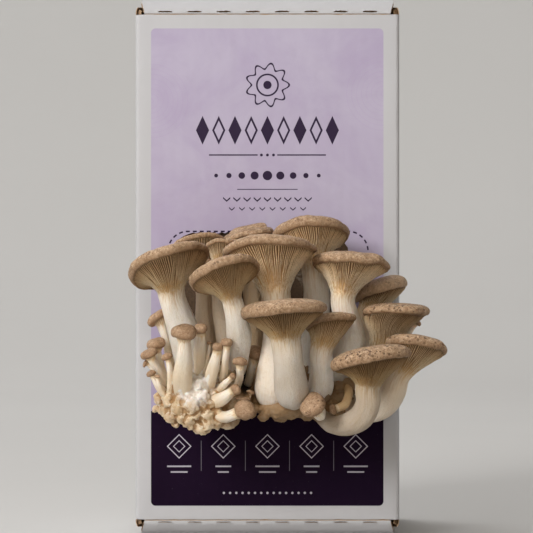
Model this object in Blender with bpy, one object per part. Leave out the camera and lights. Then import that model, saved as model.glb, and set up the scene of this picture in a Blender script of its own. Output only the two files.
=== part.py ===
"""King oyster mushroom grow kit: a corrugated carton with a cut window, the colonised
substrate block inside it, and the clump of mushrooms that has grown out of the window.

Metres, +Z up. The origin is the middle of the flat the carton stands on. The printed
front faces -Y, and +X is to the right as the front is seen.
All lengths below are in millimetres and are turned into metres where a mesh is made.
"""

import math

import bmesh
import bpy
from mathutils import Vector

MM = 0.001
GAP = 0.35  # clearance between pieces that touch

# ---- carton -------------------------------------------------------------------------
BOX_WIDTH = 140.0
BOX_DEPTH = 110.0
BOARD = 3.0  # corrugated board, one B flute
FACE_HEIGHT = 268.0  # front panel, crease to crease
FLAP_BULGE = 10.0  # how far each end flap springs out past its crease
CORNER_RADIUS = 2.5  # outer radius of the upright creases

FACE_BOTTOM = FLAP_BULGE
FACE_TOP = FACE_BOTTOM + FACE_HEIGHT
FRONT_Y = -BOX_DEPTH / 2
BACK_Y = BOX_DEPTH / 2

WINDOW_LEFT, WINDOW_RIGHT = -50.0, 43.0
WINDOW_BOTTOM, WINDOW_TOP = 70.5, 162.5
WINDOW_RADIUS = 11.0

FLAP_HALF_WIDTH = 67.6
FLAP_NECK_HALF_WIDTH = 65.3  # at the crease, inside the chamfered corners
FLAP_CHAMFER = 12.0
TUCK_LENGTH = 19.0
TUCK_LEAN = 2.6  # the tab leans in, so that it clears the back panel as it swings out
SLITS = 8  # perforations along the crease of an end flap
SLIT_LENGTH, SLIT_PITCH, SLIT_HEIGHT = 7.8, 15.5, 1.6

DUST_LENGTH = 50.0
DUST_FRONT_SETBACK = 11.0  # from the outside of the front and back panels
DUST_BACK_SETBACK = 15.0
DUST_TAPER = 7.0

# ---- substrate block ------------------------------------------------------------------
BLOCK_WIDTH = 129.0
BLOCK_FRONT_Y = -50.4
BLOCK_BACK_Y = 43.5
BLOCK_BOTTOM, BLOCK_TOP = 10.4, 254.0
BLOCK_RADIUS = 9.0

# ---- large mushrooms ------------------------------------------------------------------
# cap: centre of the rim plane. radius: of the rim. lean: degrees that the cap's right side
# is raised. back: degrees that the cap tips towards the carton, which shows its gills.
# dome: height of the cap above the rim plane. rim: depth of the rolled edge below it.
# stem: centre line from the neck down to the clump, each point with its radius.
# ridges: sides of the fluted, gilled underside.
FULL, PLAIN = 22, 14
LARGE = {
    "mushroom_01": dict(
        cap=(-50.3, -112, 145.7), radius=21.6, lean=19, back=21, dome=4.8, rim=3.4,
        ridges=FULL,
        stem=((-49.0, -108, 131.5, 6.9), (-46.7, -103, 122.5, 7.2), (-43.4, -98, 112, 7.9),
              (-41.0, -93, 101, 7.7), (-39.5, -86, 89, 7.2)),
    ),
    "mushroom_02": dict(
        cap=(-35.6, -70, 154.4), radius=14.0, lean=13, back=28, dome=3.0, rim=1.8,
        ridges=PLAIN,
        stem=((-34.0, -72, 142.5, 5.0), (-32.9, -71, 132, 4.8), (-31.0, -66, 111, 5.2),
              (-29.0, -62, 94, 5.4)),
    ),
    "mushroom_03": dict(
        cap=(-23.8, -92.5, 155.0), radius=8.2, lean=4, back=22, dome=2.4, rim=1.5,
        ridges=PLAIN,
        stem=((-25.0, -91, 145.5, 3.8), (-25.0, -87, 131, 4.2), (-23.0, -82, 112, 4.6),
              (-20.0, -75, 93, 4.6)),
    ),
    "mushroom_04": dict(
        cap=(-33.4, -86, 145.6), radius=5.3, lean=12, back=12, dome=2.2, rim=1.4,
        ridges=PLAIN,
        stem=((-33.6, -85.6, 139, 3.0), (-33.6, -84.5, 126, 3.4), (-33.2, -82, 110, 3.9),
              (-31.4, -76, 93, 4.2)),
    ),
    "mushroom_05": dict(
        cap=(-9.8, -68.5, 160.8), radius=12.9, lean=10, back=3, dome=5.6, rim=1.6,
        ridges=PLAIN,
        stem=((-8.8, -69, 148.5, 4.8), (-7.8, -69.5, 130, 5.0), (-7.4, -69, 110, 5.4),
              (-8.6, -64, 92, 5.6)),
    ),
    "mushroom_06": dict(
        cap=(22.4, -80, 160.8), radius=20.5, lean=3, back=20, dome=5.2, rim=3.2,
        ridges=FULL,
        stem=((24.4, -83, 143.5, 6.6), (25.6, -78, 127, 6.6), (24.5, -71, 106, 6.8),
              (22.0, -64, 88, 6.8)),
    ),
    "mushroom_07": dict(
        cap=(1.3, -110, 152.0), radius=23.9, lean=2, back=13, dome=4.6, rim=2.6,
        ridges=FULL,
        stem=((4.3, -111, 129.0, 7.2), (4.7, -109, 116, 7.0), (4.3, -110, 103, 7.3),
              (3.6, -108.5, 90.5, 9.1), (2.4, -104, 82.8, 9.6), (2.6, -92, 80.3, 8.4)),
    ),
    "mushroom_08": dict(
        cap=(42.7, -103.5, 146.0), radius=19.8, lean=-4, back=9, dome=5.2, rim=2.6,
        ridges=FULL,
        stem=((38.6, -104, 128.5, 6.2), (40.8, -100, 117, 6.8), (42.4, -94, 105, 8.4),
              (38.6, -85, 91, 7.8), (33.0, -74, 83, 7.0)),
    ),
    "mushroom_09": dict(
        cap=(7.9, -141, 123.4), radius=21.5, lean=1, back=4, dome=4.8, rim=4.0,
        ridges=FULL,
        stem=((9.0, -140, 107.5, 7.4), (10.0, -138, 98.5, 7.5), (11.3, -133, 89.5, 8.2),
              (12.2, -126.5, 82.6, 8.9), (12.8, -118.5, 79.5, 7.6)),
    ),
    "mushroom_10": dict(
        cap=(-21.8, -131, 140.8), radius=17.8, lean=16, back=23, dome=4.6, rim=3.4,
        ridges=FULL,
        stem=((-17.6, -130, 127.0, 4.8), (-15.6, -126.5, 119, 5.4), (-14.2, -121, 110, 6.0),
              (-15.0, -112, 100, 5.6), (-16.0, -101, 92, 5.0)),
    ),
    "mushroom_11": dict(
        cap=(31.9, -120.0, 116.4), radius=13.2, lean=10, back=14, dome=3.6, rim=2.2,
        ridges=FULL,
        stem=((27.2, -120.5, 102.5, 5.9), (27.2, -117.5, 94, 5.8), (27.0, -111.5, 85.2, 6.4),
              (26.6, -101, 80.6, 6.4)),
    ),
    "mushroom_12": dict(
        cap=(58.6, -75, 132.6), radius=14.6, lean=17, back=3, dome=6.0, rim=2.6,
        ridges=PLAIN,
        stem=((52.8, -75, 121.0, 6.0), (49.6, -72, 110, 5.8), (43.6, -67, 96, 5.2),
              (36.5, -61, 89, 4.8)),
    ),
    "mushroom_13": dict(
        cap=(66.1, -99, 121.2), radius=17.3, lean=0, back=6, dome=4.3, rim=2.2,
        ridges=FULL,
        stem=((56.4, -92, 97.5, 6.1), (53.6, -86, 89.5, 5.5), (49.4, -77, 82.5, 5.3),
              (43.5, -67, 77.5, 5.1)),
    ),
    "mushroom_14": dict(
        cap=(51.2, -140, 98.8), radius=20.0, lean=9, back=6, dome=4.8, rim=3.2,
        ridges=FULL,
        stem=((49.9, -139, 84.5, 6.3), (50.0, -136, 76.5, 6.2), (46.6, -130, 69, 6.4),
              (39.6, -120, 64.6, 5.5), (33.0, -108, 64.2, 4.6), (30.0, -96, 66.5, 4.6)),
    ),
    "mushroom_15": dict(
        cap=(75.2, -115, 104.4), radius=15.8, lean=-8, back=13, dome=4.4, rim=3.0,
        ridges=FULL,
        stem=((66.6, -113, 89.5, 6.1), (63.4, -109, 80, 6.6), (59.0, -102, 73.2, 6.8),
              (52.0, -93, 70.2, 6.7), (43.5, -83, 71.5, 6.2)),
    ),
}
FLUTE = 0.45  # half the height of the coarse flutes that stand for gills
FUNNEL_POWER = 1.9  # how quickly the gilled underside narrows to the neck

# ---- small mushrooms ------------------------------------------------------------------
# cap: centre. size: cap radius and height. lean, back: as above. stem: as above.
SMALL = {
    "small_mushroom_01": dict(
        cap=(-56.2, -94, 118.2), size=(6.3, 4.8), lean=40, back=8,
        stem=((-54.4, -93, 114.2, 2.7), (-52.4, -90.5, 107, 2.3), (-51.0, -86, 99, 2.5),
              (-49.6, -82, 90, 2.6)),
    ),
    "small_mushroom_02": dict(
        cap=(-41.7, -127, 111.5), size=(6.8, 6.8), lean=-2, back=-10,
        stem=((-41.8, -125.6, 106.4, 3.4), (-42.0, -122.5, 98, 4.2), (-42.8, -117, 89, 4.8),
              (-42.6, -107, 80, 4.6)),
    ),
    "small_mushroom_03": dict(
        cap=(-34.0, -114.5, 112.7), size=(3.5, 4.6), lean=8, back=-8,
        stem=((-33.5, -113.6, 108.8, 2.6), (-34.2, -110, 100, 3.5), (-34.2, -104, 90, 3.4)),
    ),
    "small_mushroom_04": dict(
        cap=(-57.2, -99, 104.6), size=(5.2, 5.2), lean=14, back=-6,
        stem=((-56.4, -98.6, 100, 2.0), (-54.9, -97, 94, 2.2), (-53.4, -93, 86, 2.4)),
    ),
    "small_mushroom_05": dict(
        cap=(-60.2, -108, 100.0), size=(4.4, 4.3), lean=26, back=-4,
        stem=((-58.6, -107, 96.4, 2.1), (-54.6, -101.5, 89.5, 2.6), (-49.8, -95, 81, 2.7)),
    ),
    "small_mushroom_06": dict(
        cap=(-50.8, -113, 98.8), size=(2.9, 3.3), lean=24, back=-4,
        stem=((-49.9, -112.6, 95.6, 1.4), (-49.3, -111.5, 89, 1.6), (-49.4, -107, 80, 1.8)),
    ),
    "small_mushroom_07": dict(
        cap=(-25.1, -123.5, 103.8), size=(2.8, 3.8), lean=-4, back=0,
        stem=((-25.6, -122.6, 100.2, 2.2), (-27.4, -119, 93.2, 2.9), (-29.6, -109, 85, 3.3)),
    ),
    "small_mushroom_08": dict(
        cap=(-20.2, -126.5, 106.2), size=(3.2, 3.8), lean=-4, back=0,
        stem=((-20.4, -125.6, 102.6, 1.7), (-21.4, -120, 96, 1.9), (-22.4, -110, 87, 2.1)),
    ),
    "small_mushroom_09": dict(
        cap=(-13.7, -123, 96.6), size=(3.7, 4.0), lean=-6, back=-4,
        stem=((-13.7, -122, 92.9, 1.8), (-13.9, -114, 88, 1.8), (-15.8, -104, 82.5, 2.0)),
    ),
    "small_mushroom_10": dict(
        cap=(-17.4, -121.6, 89.2), size=(1.8, 2.4), lean=-52, back=-6,
        stem=((-19.0, -120.6, 87.6, 1.5), (-22.2, -115, 84.2, 2.0), (-24.6, -106, 80, 2.3)),
    ),
    "small_mushroom_11": dict(
        cap=(-59.2, -108, 90.0), size=(2.4, 2.7), lean=28, back=-6,
        stem=((-57.7, -107.6, 87.4, 1.5), (-55.2, -106.5, 83, 2.0), (-51.2, -102, 77.6, 2.3)),
    ),
    "small_mushroom_12": dict(
        cap=(-15.9, -119.4, 82.4), size=(2.7, 3.8), lean=-62, back=-8,
        stem=((-18.6, -118.2, 80.6, 2.4), (-23.6, -114.6, 77.2, 3.3), (-29.6, -106, 74.8, 3.7)),
    ),
    "small_mushroom_13": dict(
        cap=(-11.4, -121, 72.0), size=(4.9, 8.6), lean=-62, back=-22,
        stem=((-16.6, -118.2, 69.9, 2.9), (-21.0, -114, 68.2, 3.0), (-27.6, -104, 68, 3.2)),
    ),
    "small_mushroom_14": dict(
        cap=(22.4, -134, 75.6), size=(7.0, 7.0), lean=38, back=-30,
        stem=((24.6, -131.4, 71.8, 3.0), (26.2, -123, 70.2, 3.3), (26.0, -112, 70.4, 3.2),
              (24.4, -101, 70.8, 3.0)),
    ),
    "small_mushroom_15": dict(
        cap=(33.2, -112, 71.8), size=(2.6, 3.0), lean=104, back=-10,
        stem=((35.8, -110.6, 72.4, 2.0), (39.6, -107.5, 74.4, 2.3), (41.4, -102, 79.8, 2.3),
              (40.6, -95, 83.0, 2.2)),
    ),
    "small_mushroom_16": dict(
        cap=(-5.8, -102.6, 99.8), size=(4.6, 7.0), lean=-26, back=0,
        stem=((-7.4, -101.4, 95.2, 2.0), (-8.6, -97, 90, 2.0), (-10.0, -89, 84, 2.2)),
    ),
}

# ---- stem base: the fused, lumpy foot that all the stems grow from ----------------------
# Each lump: centre and the three half axes.
FOOT_LUMPS = (
    ((-4, -60, 86), (42, 12, 14)),
    ((-34, -82, 78), (18, 24, 12)),
    ((-30, -70, 88), (17, 15, 9)),
    ((-20, -92, 76), (14, 17, 10)),
    ((6, -78, 82), (20, 16, 9)),
    ((6, -92, 74), (16, 14, 7)),
    ((20, -94, 72.5), (10, 13, 6.5)),
    ((9, -105, 74), (13, 14, 6.5)),
    ((28, -78, 78), (17, 18, 9)),
    ((31, -87, 69), (9, 12, 6.5)),
    ((34, -67, 83), (13, 11, 9)),
)
PRIMORDIA = (
    ((-50.5, -98, 77), 6.0), ((-51, -95, 71), 5.2), ((-46, -103, 70.5), 6.6),
    ((-45, -103, 79), 5.4), ((-41, -107, 74.5), 7.0), ((-38.5, -106, 67.5), 6.4),
    ((-34, -109, 76), 7.4), ((-34.5, -105, 63.6), 5.0), ((-30.5, -106, 68.5), 7.0),
    ((-25.5, -103, 68), 6.4), ((-19.5, -100, 66.8), 6.0), ((-27, -107, 77), 5.6),
    ((-34, -110, 84), 5.0), ((-12.0, -112, 76.4), 3.6), ((-16, -104, 74), 6.4),
)
FOOT_VOXEL = 2.6
FOOT_KEEP = 0.094
SOCKET_GAP = 0.4


# ---- general helpers ------------------------------------------------------------------
def clear_scene():
    for obj in list(bpy.data.objects):
        bpy.data.objects.remove(obj, do_unlink=True)


def material(name, colour, roughness, metallic=0.0):
    made = bpy.data.materials.new(name)
    made.use_nodes = True
    shader = made.node_tree.nodes["Principled BSDF"]
    shader.inputs["Base Color"].default_value = (*colour, 1.0)
    shader.inputs["Roughness"].default_value = roughness
    shader.inputs["Metallic"].default_value = metallic
    made.diffuse_color = (*colour, 1.0)
    return made


def add_object(name, mesh, finish):
    obj = bpy.data.objects.new(name, mesh)
    bpy.context.scene.collection.objects.link(obj)
    mesh.materials.append(finish)
    return obj


def mesh_from_bmesh(name, bm):
    bmesh.ops.recalc_face_normals(bm, faces=bm.faces[:])
    mesh = bpy.data.meshes.new(name)
    bm.to_mesh(mesh)
    bm.free()
    return mesh


def metres(point):
    return Vector(point) * MM


def hide_helper(obj):
    obj.hide_render = True
    obj.display_type = "WIRE"


def subtract(obj, cutter):
    cut = obj.modifiers.new("cut " + cutter.name, "BOOLEAN")
    cut.operation = "DIFFERENCE"
    cut.object = cutter
    cut.solver = "EXACT"


# ---- carton ---------------------------------------------------------------------------
def rounded_rectangle(half_x, half_y, radius, steps, centre=(0.0, 0.0)):
    """Outline of a rectangle with round corners, counter-clockwise."""
    points = []
    for quarter, (sx, sy) in enumerate(((1, 1), (-1, 1), (-1, -1), (1, -1))):
        for step in range(steps + 1):
            angle = math.pi / 2 * (quarter + step / steps)
            points.append((
                centre[0] + sx * (half_x - radius) + radius * math.cos(angle),
                centre[1] + sy * (half_y - radius) + radius * math.sin(angle),
            ))
    return points


def upright(x, y, z):
    return (x, y, z)


def facing_front(x, z, y):
    return (x, y, z)


def prism(name, outline, low, high, finish, place=upright):
    """Extrudes a closed outline from low to high; place turns (a, b, height) into a point."""
    bm = bmesh.new()
    face = bm.faces.new([bm.verts.new(metres(place(a, b, low))) for a, b in outline])
    made = bmesh.ops.extrude_face_region(bm, geom=[face])
    top = [item for item in made["geom"] if isinstance(item, bmesh.types.BMVert)]
    shift = metres(place(0, 0, high)) - metres(place(0, 0, low))
    bmesh.ops.translate(bm, verts=top, vec=shift)
    return add_object(name, mesh_from_bmesh(name, bm), finish)


def strip_solid(name, rows, finish):
    """A closed solid through rows of four corners each."""
    bm = bmesh.new()
    made = [[bm.verts.new(metres(point)) for point in row] for row in rows]
    for first, second in zip(made, made[1:]):
        for side in range(4):
            after = (side + 1) % 4
            bm.faces.new((first[side], first[after], second[after], second[side]))
    bm.faces.new(made[0])
    bm.faces.new(list(reversed(made[-1])))
    return add_object(name, mesh_from_bmesh(name, bm), finish)


def inner_line(outer, thickness):
    """The line a board's thickness inside an outer (along, height) line."""
    inner = []
    for i, point in enumerate(outer):
        here = Vector(point)
        ways = []
        if i:
            ways.append((here - Vector(outer[i - 1])).normalized())
        if i + 1 < len(outer):
            ways.append((Vector(outer[i + 1]) - here).normalized())
        normals = [Vector((way.y, -way.x)) for way in ways]
        mean = sum(normals, Vector((0.0, 0.0))).normalized()
        inner.append(here + mean * thickness / max(0.5, mean.dot(normals[0])))
    return inner


def build_walls(finish):
    """The four upright panels: one sleeve of board with the window cut in its front."""
    outline = rounded_rectangle(BOX_WIDTH / 2, BOX_DEPTH / 2, CORNER_RADIUS, 3)
    walls = prism("carton_walls", outline, FACE_BOTTOM, FACE_TOP, finish)
    inside = rounded_rectangle(BOX_WIDTH / 2 - BOARD, BOX_DEPTH / 2 - BOARD, 0.6, 1)
    bore = prism("walls_bore", inside, FACE_BOTTOM - 5, FACE_TOP + 5, finish)
    opening = rounded_rectangle(
        (WINDOW_RIGHT - WINDOW_LEFT) / 2, (WINDOW_TOP - WINDOW_BOTTOM) / 2,
        WINDOW_RADIUS, 4,
        centre=((WINDOW_RIGHT + WINDOW_LEFT) / 2, (WINDOW_TOP + WINDOW_BOTTOM) / 2),
    )
    window = prism(
        "window_cutter", opening, FRONT_Y - 5, FRONT_Y + BOARD + 5, finish, facing_front
    )
    for cutter in (bore, window):
        hide_helper(cutter)
        subtract(walls, cutter)


def flap_section():
    """Outer line of an end flap from its front crease to the tip of its tuck tab, as
    (y, height above the crease). The flap springs out over the dust flaps."""
    tuck_y = BACK_Y - BOARD - 0.7
    return (
        (FRONT_Y, GAP), (FRONT_Y + 0.1, 1.8), (FRONT_Y + 1.4, 3.8), (FRONT_Y + 4.6, 7.0),
        (FRONT_Y + 10.0, 9.0), (FRONT_Y + 17.0, 9.8), (FRONT_Y + 24.0, FLAP_BULGE),
        (BACK_Y - 24.0, FLAP_BULGE), (BACK_Y - 14.0, 9.5), (BACK_Y - 7.0, 7.6),
        (tuck_y, 3.4), (tuck_y - 0.3, 0.0), (tuck_y - TUCK_LEAN, -TUCK_LENGTH),
    )


def build_end_flap(name, crease_z, up, finish):
    """A main flap hinged on the front panel, with its tab tucked behind the back panel.
    up is 1 for the top of the carton and -1 for the bottom."""
    outer = flap_section()
    inner = inner_line(outer, BOARD)
    tab_narrowing = (0.4, 1.0, 6.0)  # of the last three points
    rows = []
    for i, (out_point, in_point) in enumerate(zip(outer, inner)):
        grown = min(1.0, (out_point[0] - FRONT_Y) / FLAP_CHAMFER)
        half = FLAP_NECK_HALF_WIDTH + (FLAP_HALF_WIDTH - FLAP_NECK_HALF_WIDTH) * grown
        past = i - (len(outer) - len(tab_narrowing))
        half -= tab_narrowing[past] if past >= 0 else 0.0
        rows.append([
            (side * half, y, crease_z + up * height)
            for side, (y, height) in (
                (-1, out_point), (1, out_point), (1, in_point), (-1, in_point)
            )
        ])
    flap = strip_solid(name, rows, finish)

    bm = bmesh.new()
    for k in range(SLITS):
        made = bmesh.ops.create_cube(bm, size=1.0)
        middle = (k - (SLITS - 1) / 2) * SLIT_PITCH
        for vert in made["verts"]:
            vert.co = metres((
                middle + vert.co.x * SLIT_LENGTH,
                FRONT_Y + vert.co.y * 5 * BOARD,
                crease_z + up * (vert.co.z + 0.5) * (GAP + SLIT_HEIGHT),
            ))
    slits = add_object(name + "_slits", mesh_from_bmesh(name + "_slits", bm), finish)
    hide_helper(slits)
    subtract(flap, slits)


def build_dust_flap(name, side, crease_z, up, finish):
    """A flap folded in from a side panel, inside the main flap. It springs up a little at
    its fold."""
    edge = BOX_WIDTH / 2
    outer = (
        (edge, GAP), (edge - 0.1, 2.0), (edge - 0.9, 3.9), (edge - 2.6, 4.8),
        (edge - 5.0, 4.9), (edge - 14.0, 4.3), (edge - DUST_LENGTH, 3.5),
    )
    # The section runs inwards from the side panel, so its inside lies on the other hand.
    mirrored = inner_line([(-x, height) for x, height in outer], BOARD)
    inner = [(-x, height) for x, height in mirrored]
    rows = []
    for (out_x, out_h), (in_x, in_h) in zip(outer, inner):
        tapered = min(1.0, max(0.0, (edge - 14.0 - out_x) / (DUST_LENGTH - 14.0)))
        front = FRONT_Y + DUST_FRONT_SETBACK + DUST_TAPER * tapered
        back = BACK_Y - DUST_BACK_SETBACK - DUST_TAPER * tapered
        rows.append([
            (side * x, y, crease_z + up * height)
            for x, y, height in (
                (out_x, front, out_h), (out_x, back, out_h),
                (in_x, back, in_h), (in_x, front, in_h),
            )
        ])
    strip_solid(name, rows, finish)


def build_block(finish):
    """The bagged block of colonised sawdust that fills the carton."""
    outline = rounded_rectangle(
        BLOCK_WIDTH / 2, (BLOCK_BACK_Y - BLOCK_FRONT_Y) / 2, BLOCK_RADIUS, 3,
        centre=(0.0, (BLOCK_BACK_Y + BLOCK_FRONT_Y) / 2),
    )
    block = prism("substrate_block", outline, BLOCK_BOTTOM, BLOCK_TOP, finish)
    soften = block.modifiers.new("soft ends", "BEVEL")
    soften.limit_method = "ANGLE"
    soften.angle_limit = math.radians(60)
    soften.width = 5.0 * MM
    soften.segments = 2


# ---- mushrooms ------------------------------------------------------------------------
def cap_axis(lean, back):
    """Unit vector out of the top of a cap."""
    lean, back = math.radians(lean), math.radians(back)
    return Vector((
        -math.sin(lean) * math.cos(back), math.sin(back), math.cos(lean) * math.cos(back),
    ))


def smooth_curve(points, per_span):
    """Catmull-Rom curve through points of any dimension, as a list of Vectors."""
    rows = [Vector(p) for p in points]
    rows = [2 * rows[0] - rows[1], *rows, 2 * rows[-1] - rows[-2]]
    curve = []
    for a, b, c, d in zip(rows, rows[1:], rows[2:], rows[3:]):
        for step in range(per_span):
            t = step / per_span
            curve.append(0.5 * (
                2 * b + (c - a) * t + (2 * a - 5 * b + 4 * c - d) * t * t
                + (3 * b - a - 3 * c + d) * t ** 3
            ))
    curve.append(rows[-2])
    return curve


def rings_along(stations, sides):
    """A ring of points for each station (centre, radius, way, flute). way is the normal of
    the ring's plane; the rings don't twist from one to the next."""
    across = stations[0][2].orthogonal()
    rings = []
    for centre, radius, way, flute in stations:
        across = (across - way * across.dot(way)).normalized()
        beside = way.cross(across)
        ring = []
        for k in range(sides):
            angle = 2 * math.pi * k / sides
            reach = radius + flute * (1 if k % 2 else -1)
            turned = across * math.cos(angle) + beside * math.sin(angle)
            ring.append(centre + turned * reach)
        rings.append(ring)
    return rings


def solid_of_rings(name, rings, finish, start=None, end=None):
    """A closed mesh through rings. start and end are the points of its round ends, or
    None for a flat end."""
    bm = bmesh.new()
    rows = [[bm.verts.new(metres(point)) for point in ring] for ring in rings]
    for first, second in zip(rows, rows[1:]):
        for k in range(len(first)):
            after = (k + 1) % len(first)
            bm.faces.new((first[k], first[after], second[after], second[k]))
    for row, tip in ((rows[0], start), (rows[-1], end)):
        if tip is None:
            bm.faces.new(row)
            continue
        point = bm.verts.new(metres(tip))
        for k, corner in enumerate(row):
            bm.faces.new((corner, row[(k + 1) % len(row)], point))
    mesh = mesh_from_bmesh(name, bm)
    mesh.shade_smooth()
    mesh.set_sharp_from_angle(angle=math.radians(45))
    return add_object(name, mesh, finish)


def way_at(line, i):
    """Direction up the stem at one point of its centre line."""
    return (line[max(0, i - 1)].xyz - line[min(len(line) - 1, i + 1)].xyz).normalized()


def build_large_mushroom(name, spec, cap_finish, stem_finish):
    """Cap with its gilled funnel as one solid, and the stem below the neck as another."""
    axis = cap_axis(spec["lean"], spec["back"])
    centre = Vector(spec["cap"])
    radius, dome, rim = spec["radius"], spec["dome"], spec["rim"]
    neck_radius = spec["stem"][0][3]
    under_rim = centre - axis * rim
    neck_index = 6  # steps of the line between the rim and the neck
    line = smooth_curve(((*under_rim, neck_radius), *spec["stem"]), neck_index)
    neck_way = way_at(line, neck_index)

    stations = [
        (centre + axis * dome * 0.84, radius * 0.60, axis, 0.0),
        (centre + axis * dome * 0.48, radius * 0.91, axis, 0.0),
        (centre - axis * rim * 0.2, radius, axis, 0.0),
        (under_rim, radius * 0.93, axis, 0.0),
    ]
    for index in (1, 3, neck_index):
        share = index / neck_index
        reach = neck_radius + (radius * 0.93 - neck_radius) * (1 - share) ** FUNNEL_POWER
        at_neck = index == neck_index
        middle = line[index].xyz + (neck_way * GAP / 2 if at_neck else Vector())
        flute = FLUTE * (0.3 if at_neck else 1.0) * min(1.0, radius / 15)
        stations.append((middle, reach, axis.slerp(neck_way, share), flute))
    rings = rings_along(stations, spec["ridges"])
    solid_of_rings(name + "_cap", rings, cap_finish, start=centre + axis * dome)
    build_stem(name + "_stem", line[neck_index:], neck_way, stem_finish)


def build_stem(name, line, neck_way, finish):
    """The stem below the neck, and the socket that it leaves in the foot."""
    sides, step = 9, 6
    stations = []
    for i in range(0, len(line), step):
        way = way_at(line, i) if i else neck_way
        start = line[i].xyz - (Vector() if i else neck_way * GAP / 2)
        stations.append((start, line[i].w, way, 0.0))
    tip = stations[-1][0] - stations[-1][2] * 1.6
    solid_of_rings(name, rings_along(stations, sides), finish, end=tip)
    add_socket(name, stations, sides, tip, finish)


def add_socket(name, stations, sides, tip, finish):
    """A hidden copy of a stem's lower half, a little fatter, that the foot is cut with."""
    fat = [
        (centre, radius + SOCKET_GAP, way, flute)
        for centre, radius, way, flute in stations
    ]
    lower = rings_along(fat, sides)[max(0, len(fat) - 3):]
    end = tip - stations[-1][2] * SOCKET_GAP
    cutter = solid_of_rings(name + "_socket", lower, finish, end=end)
    hide_helper(cutter)


def build_small_mushroom(name, spec, finish):
    """A young mushroom: button cap and stem in one solid."""
    sides, per_span = 8, 4
    axis = cap_axis(spec["lean"], spec["back"])
    centre = Vector(spec["cap"])
    radius, height = spec["size"]
    line = smooth_curve(spec["stem"], per_span)
    top_way = way_at(line, 0)
    stations = [
        (centre + axis * height * 0.40, radius * 0.64, axis, 0.0),
        (centre - axis * height * 0.04, radius, axis, 0.0),
        (centre - axis * height * 0.38, radius * 0.80, axis, 0.0),
    ]
    for i in range(0, len(line), per_span):
        way = way_at(line, i) if i else axis.slerp(top_way, 0.6)
        stations.append((line[i].xyz, line[i].w, way, 0.0))
    tip = stations[-1][0] - stations[-1][2] * 1.0
    solid_of_rings(
        name, rings_along(stations, sides), finish,
        start=centre + axis * height * 0.58, end=tip,
    )
    add_socket(name, stations, sides, tip, finish)


def build_foot(finish):
    """The lumpy foot: round lumps fused by a voxel remesh, cut off at the block's face,
    with a socket for every stem."""
    bm = bmesh.new()
    lumps = [*FOOT_LUMPS, *((centre, (r, r, r)) for centre, r in PRIMORDIA)]
    for centre, axes in lumps:
        made = bmesh.ops.create_icosphere(bm, subdivisions=3, radius=1.0)
        for vert in made["verts"]:
            vert.co = metres([c + a * v for c, a, v in zip(centre, axes, vert.co)])
    foot = add_object("stem_base", mesh_from_bmesh("stem_base", bm), finish)
    fuse = foot.modifiers.new("fuse", "REMESH")
    fuse.mode = "VOXEL"
    fuse.voxel_size = FOOT_VOXEL * MM
    thin = foot.modifiers.new("thin", "DECIMATE")
    thin.ratio = FOOT_KEEP

    side = 90.0
    behind = prism(
        "foot_back_cutter", [(-side, -side), (side, -side), (side, 2 * side), (-side, 2 * side)],
        BLOCK_FRONT_Y - GAP, BLOCK_FRONT_Y + side, finish, facing_front,
    )
    hide_helper(behind)
    subtract(foot, behind)
    for obj in list(bpy.data.objects):
        if obj.name.endswith("_socket"):
            subtract(foot, obj)


def main():
    clear_scene()
    board = material("white_board", (0.78, 0.77, 0.76), 0.75)
    substrate = material("substrate", (0.52, 0.42, 0.31), 0.8)
    cap_skin = material("cap_skin", (0.50, 0.36, 0.25), 0.7)
    stem_flesh = material("stem_flesh", (0.84, 0.78, 0.68), 0.6)
    young = material("young_flesh", (0.80, 0.70, 0.55), 0.6)

    build_walls(board)
    build_end_flap("top_flap", FACE_TOP, 1, board)
    build_end_flap("bottom_flap", FACE_BOTTOM, -1, board)
    for end, crease_z, up in (("top", FACE_TOP, 1), ("bottom", FACE_BOTTOM, -1)):
        for hand, side in (("left", -1), ("right", 1)):
            build_dust_flap(f"dust_flap_{end}_{hand}", side, crease_z, up, board)
    build_block(substrate)

    for name, spec in LARGE.items():
        build_large_mushroom(name, spec, cap_skin, stem_flesh)
    for name, spec in SMALL.items():
        build_small_mushroom(name, spec, young)
    build_foot(young)


main()
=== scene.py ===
"""Looks of the mushroom grow kit: corrugated carton with a printed front, and the clump of
king oyster mushrooms that grows out of its window.

Lengths are in millimetres in the row frame (+Z up, the printed front faces -Y) and are
turned into metres where a mesh is made. The tables repeat the CAD's named values.
"""

import math
import random

import bmesh
import bpy
import numpy as np
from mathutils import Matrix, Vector, noise


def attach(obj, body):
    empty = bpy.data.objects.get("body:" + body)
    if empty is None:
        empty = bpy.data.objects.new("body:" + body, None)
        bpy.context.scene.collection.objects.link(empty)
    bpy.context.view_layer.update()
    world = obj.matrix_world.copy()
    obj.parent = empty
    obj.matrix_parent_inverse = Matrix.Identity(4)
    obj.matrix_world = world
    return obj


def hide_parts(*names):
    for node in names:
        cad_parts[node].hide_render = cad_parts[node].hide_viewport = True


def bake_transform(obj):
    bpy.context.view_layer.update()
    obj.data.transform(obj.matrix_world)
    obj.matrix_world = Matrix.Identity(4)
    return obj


MM = 0.001
TAU = 2 * math.pi

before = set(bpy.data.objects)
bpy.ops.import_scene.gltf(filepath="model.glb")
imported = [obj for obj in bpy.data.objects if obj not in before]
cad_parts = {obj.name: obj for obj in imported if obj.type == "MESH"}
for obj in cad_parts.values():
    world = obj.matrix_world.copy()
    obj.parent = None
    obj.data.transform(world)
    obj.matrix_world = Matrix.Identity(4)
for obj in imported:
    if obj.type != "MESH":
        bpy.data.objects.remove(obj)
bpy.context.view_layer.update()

# ---- camera ---------------------------------------------------------------------------
CAMERA_AT = (-0.0005, -1.355, 0.1443)
FACE_DISTANCE = 1300.0  # from the camera to the carton's front
FRAME_WIDTH = 533 * 0.53  # what the frame shows at that distance
SENSOR = 36.0


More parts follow.
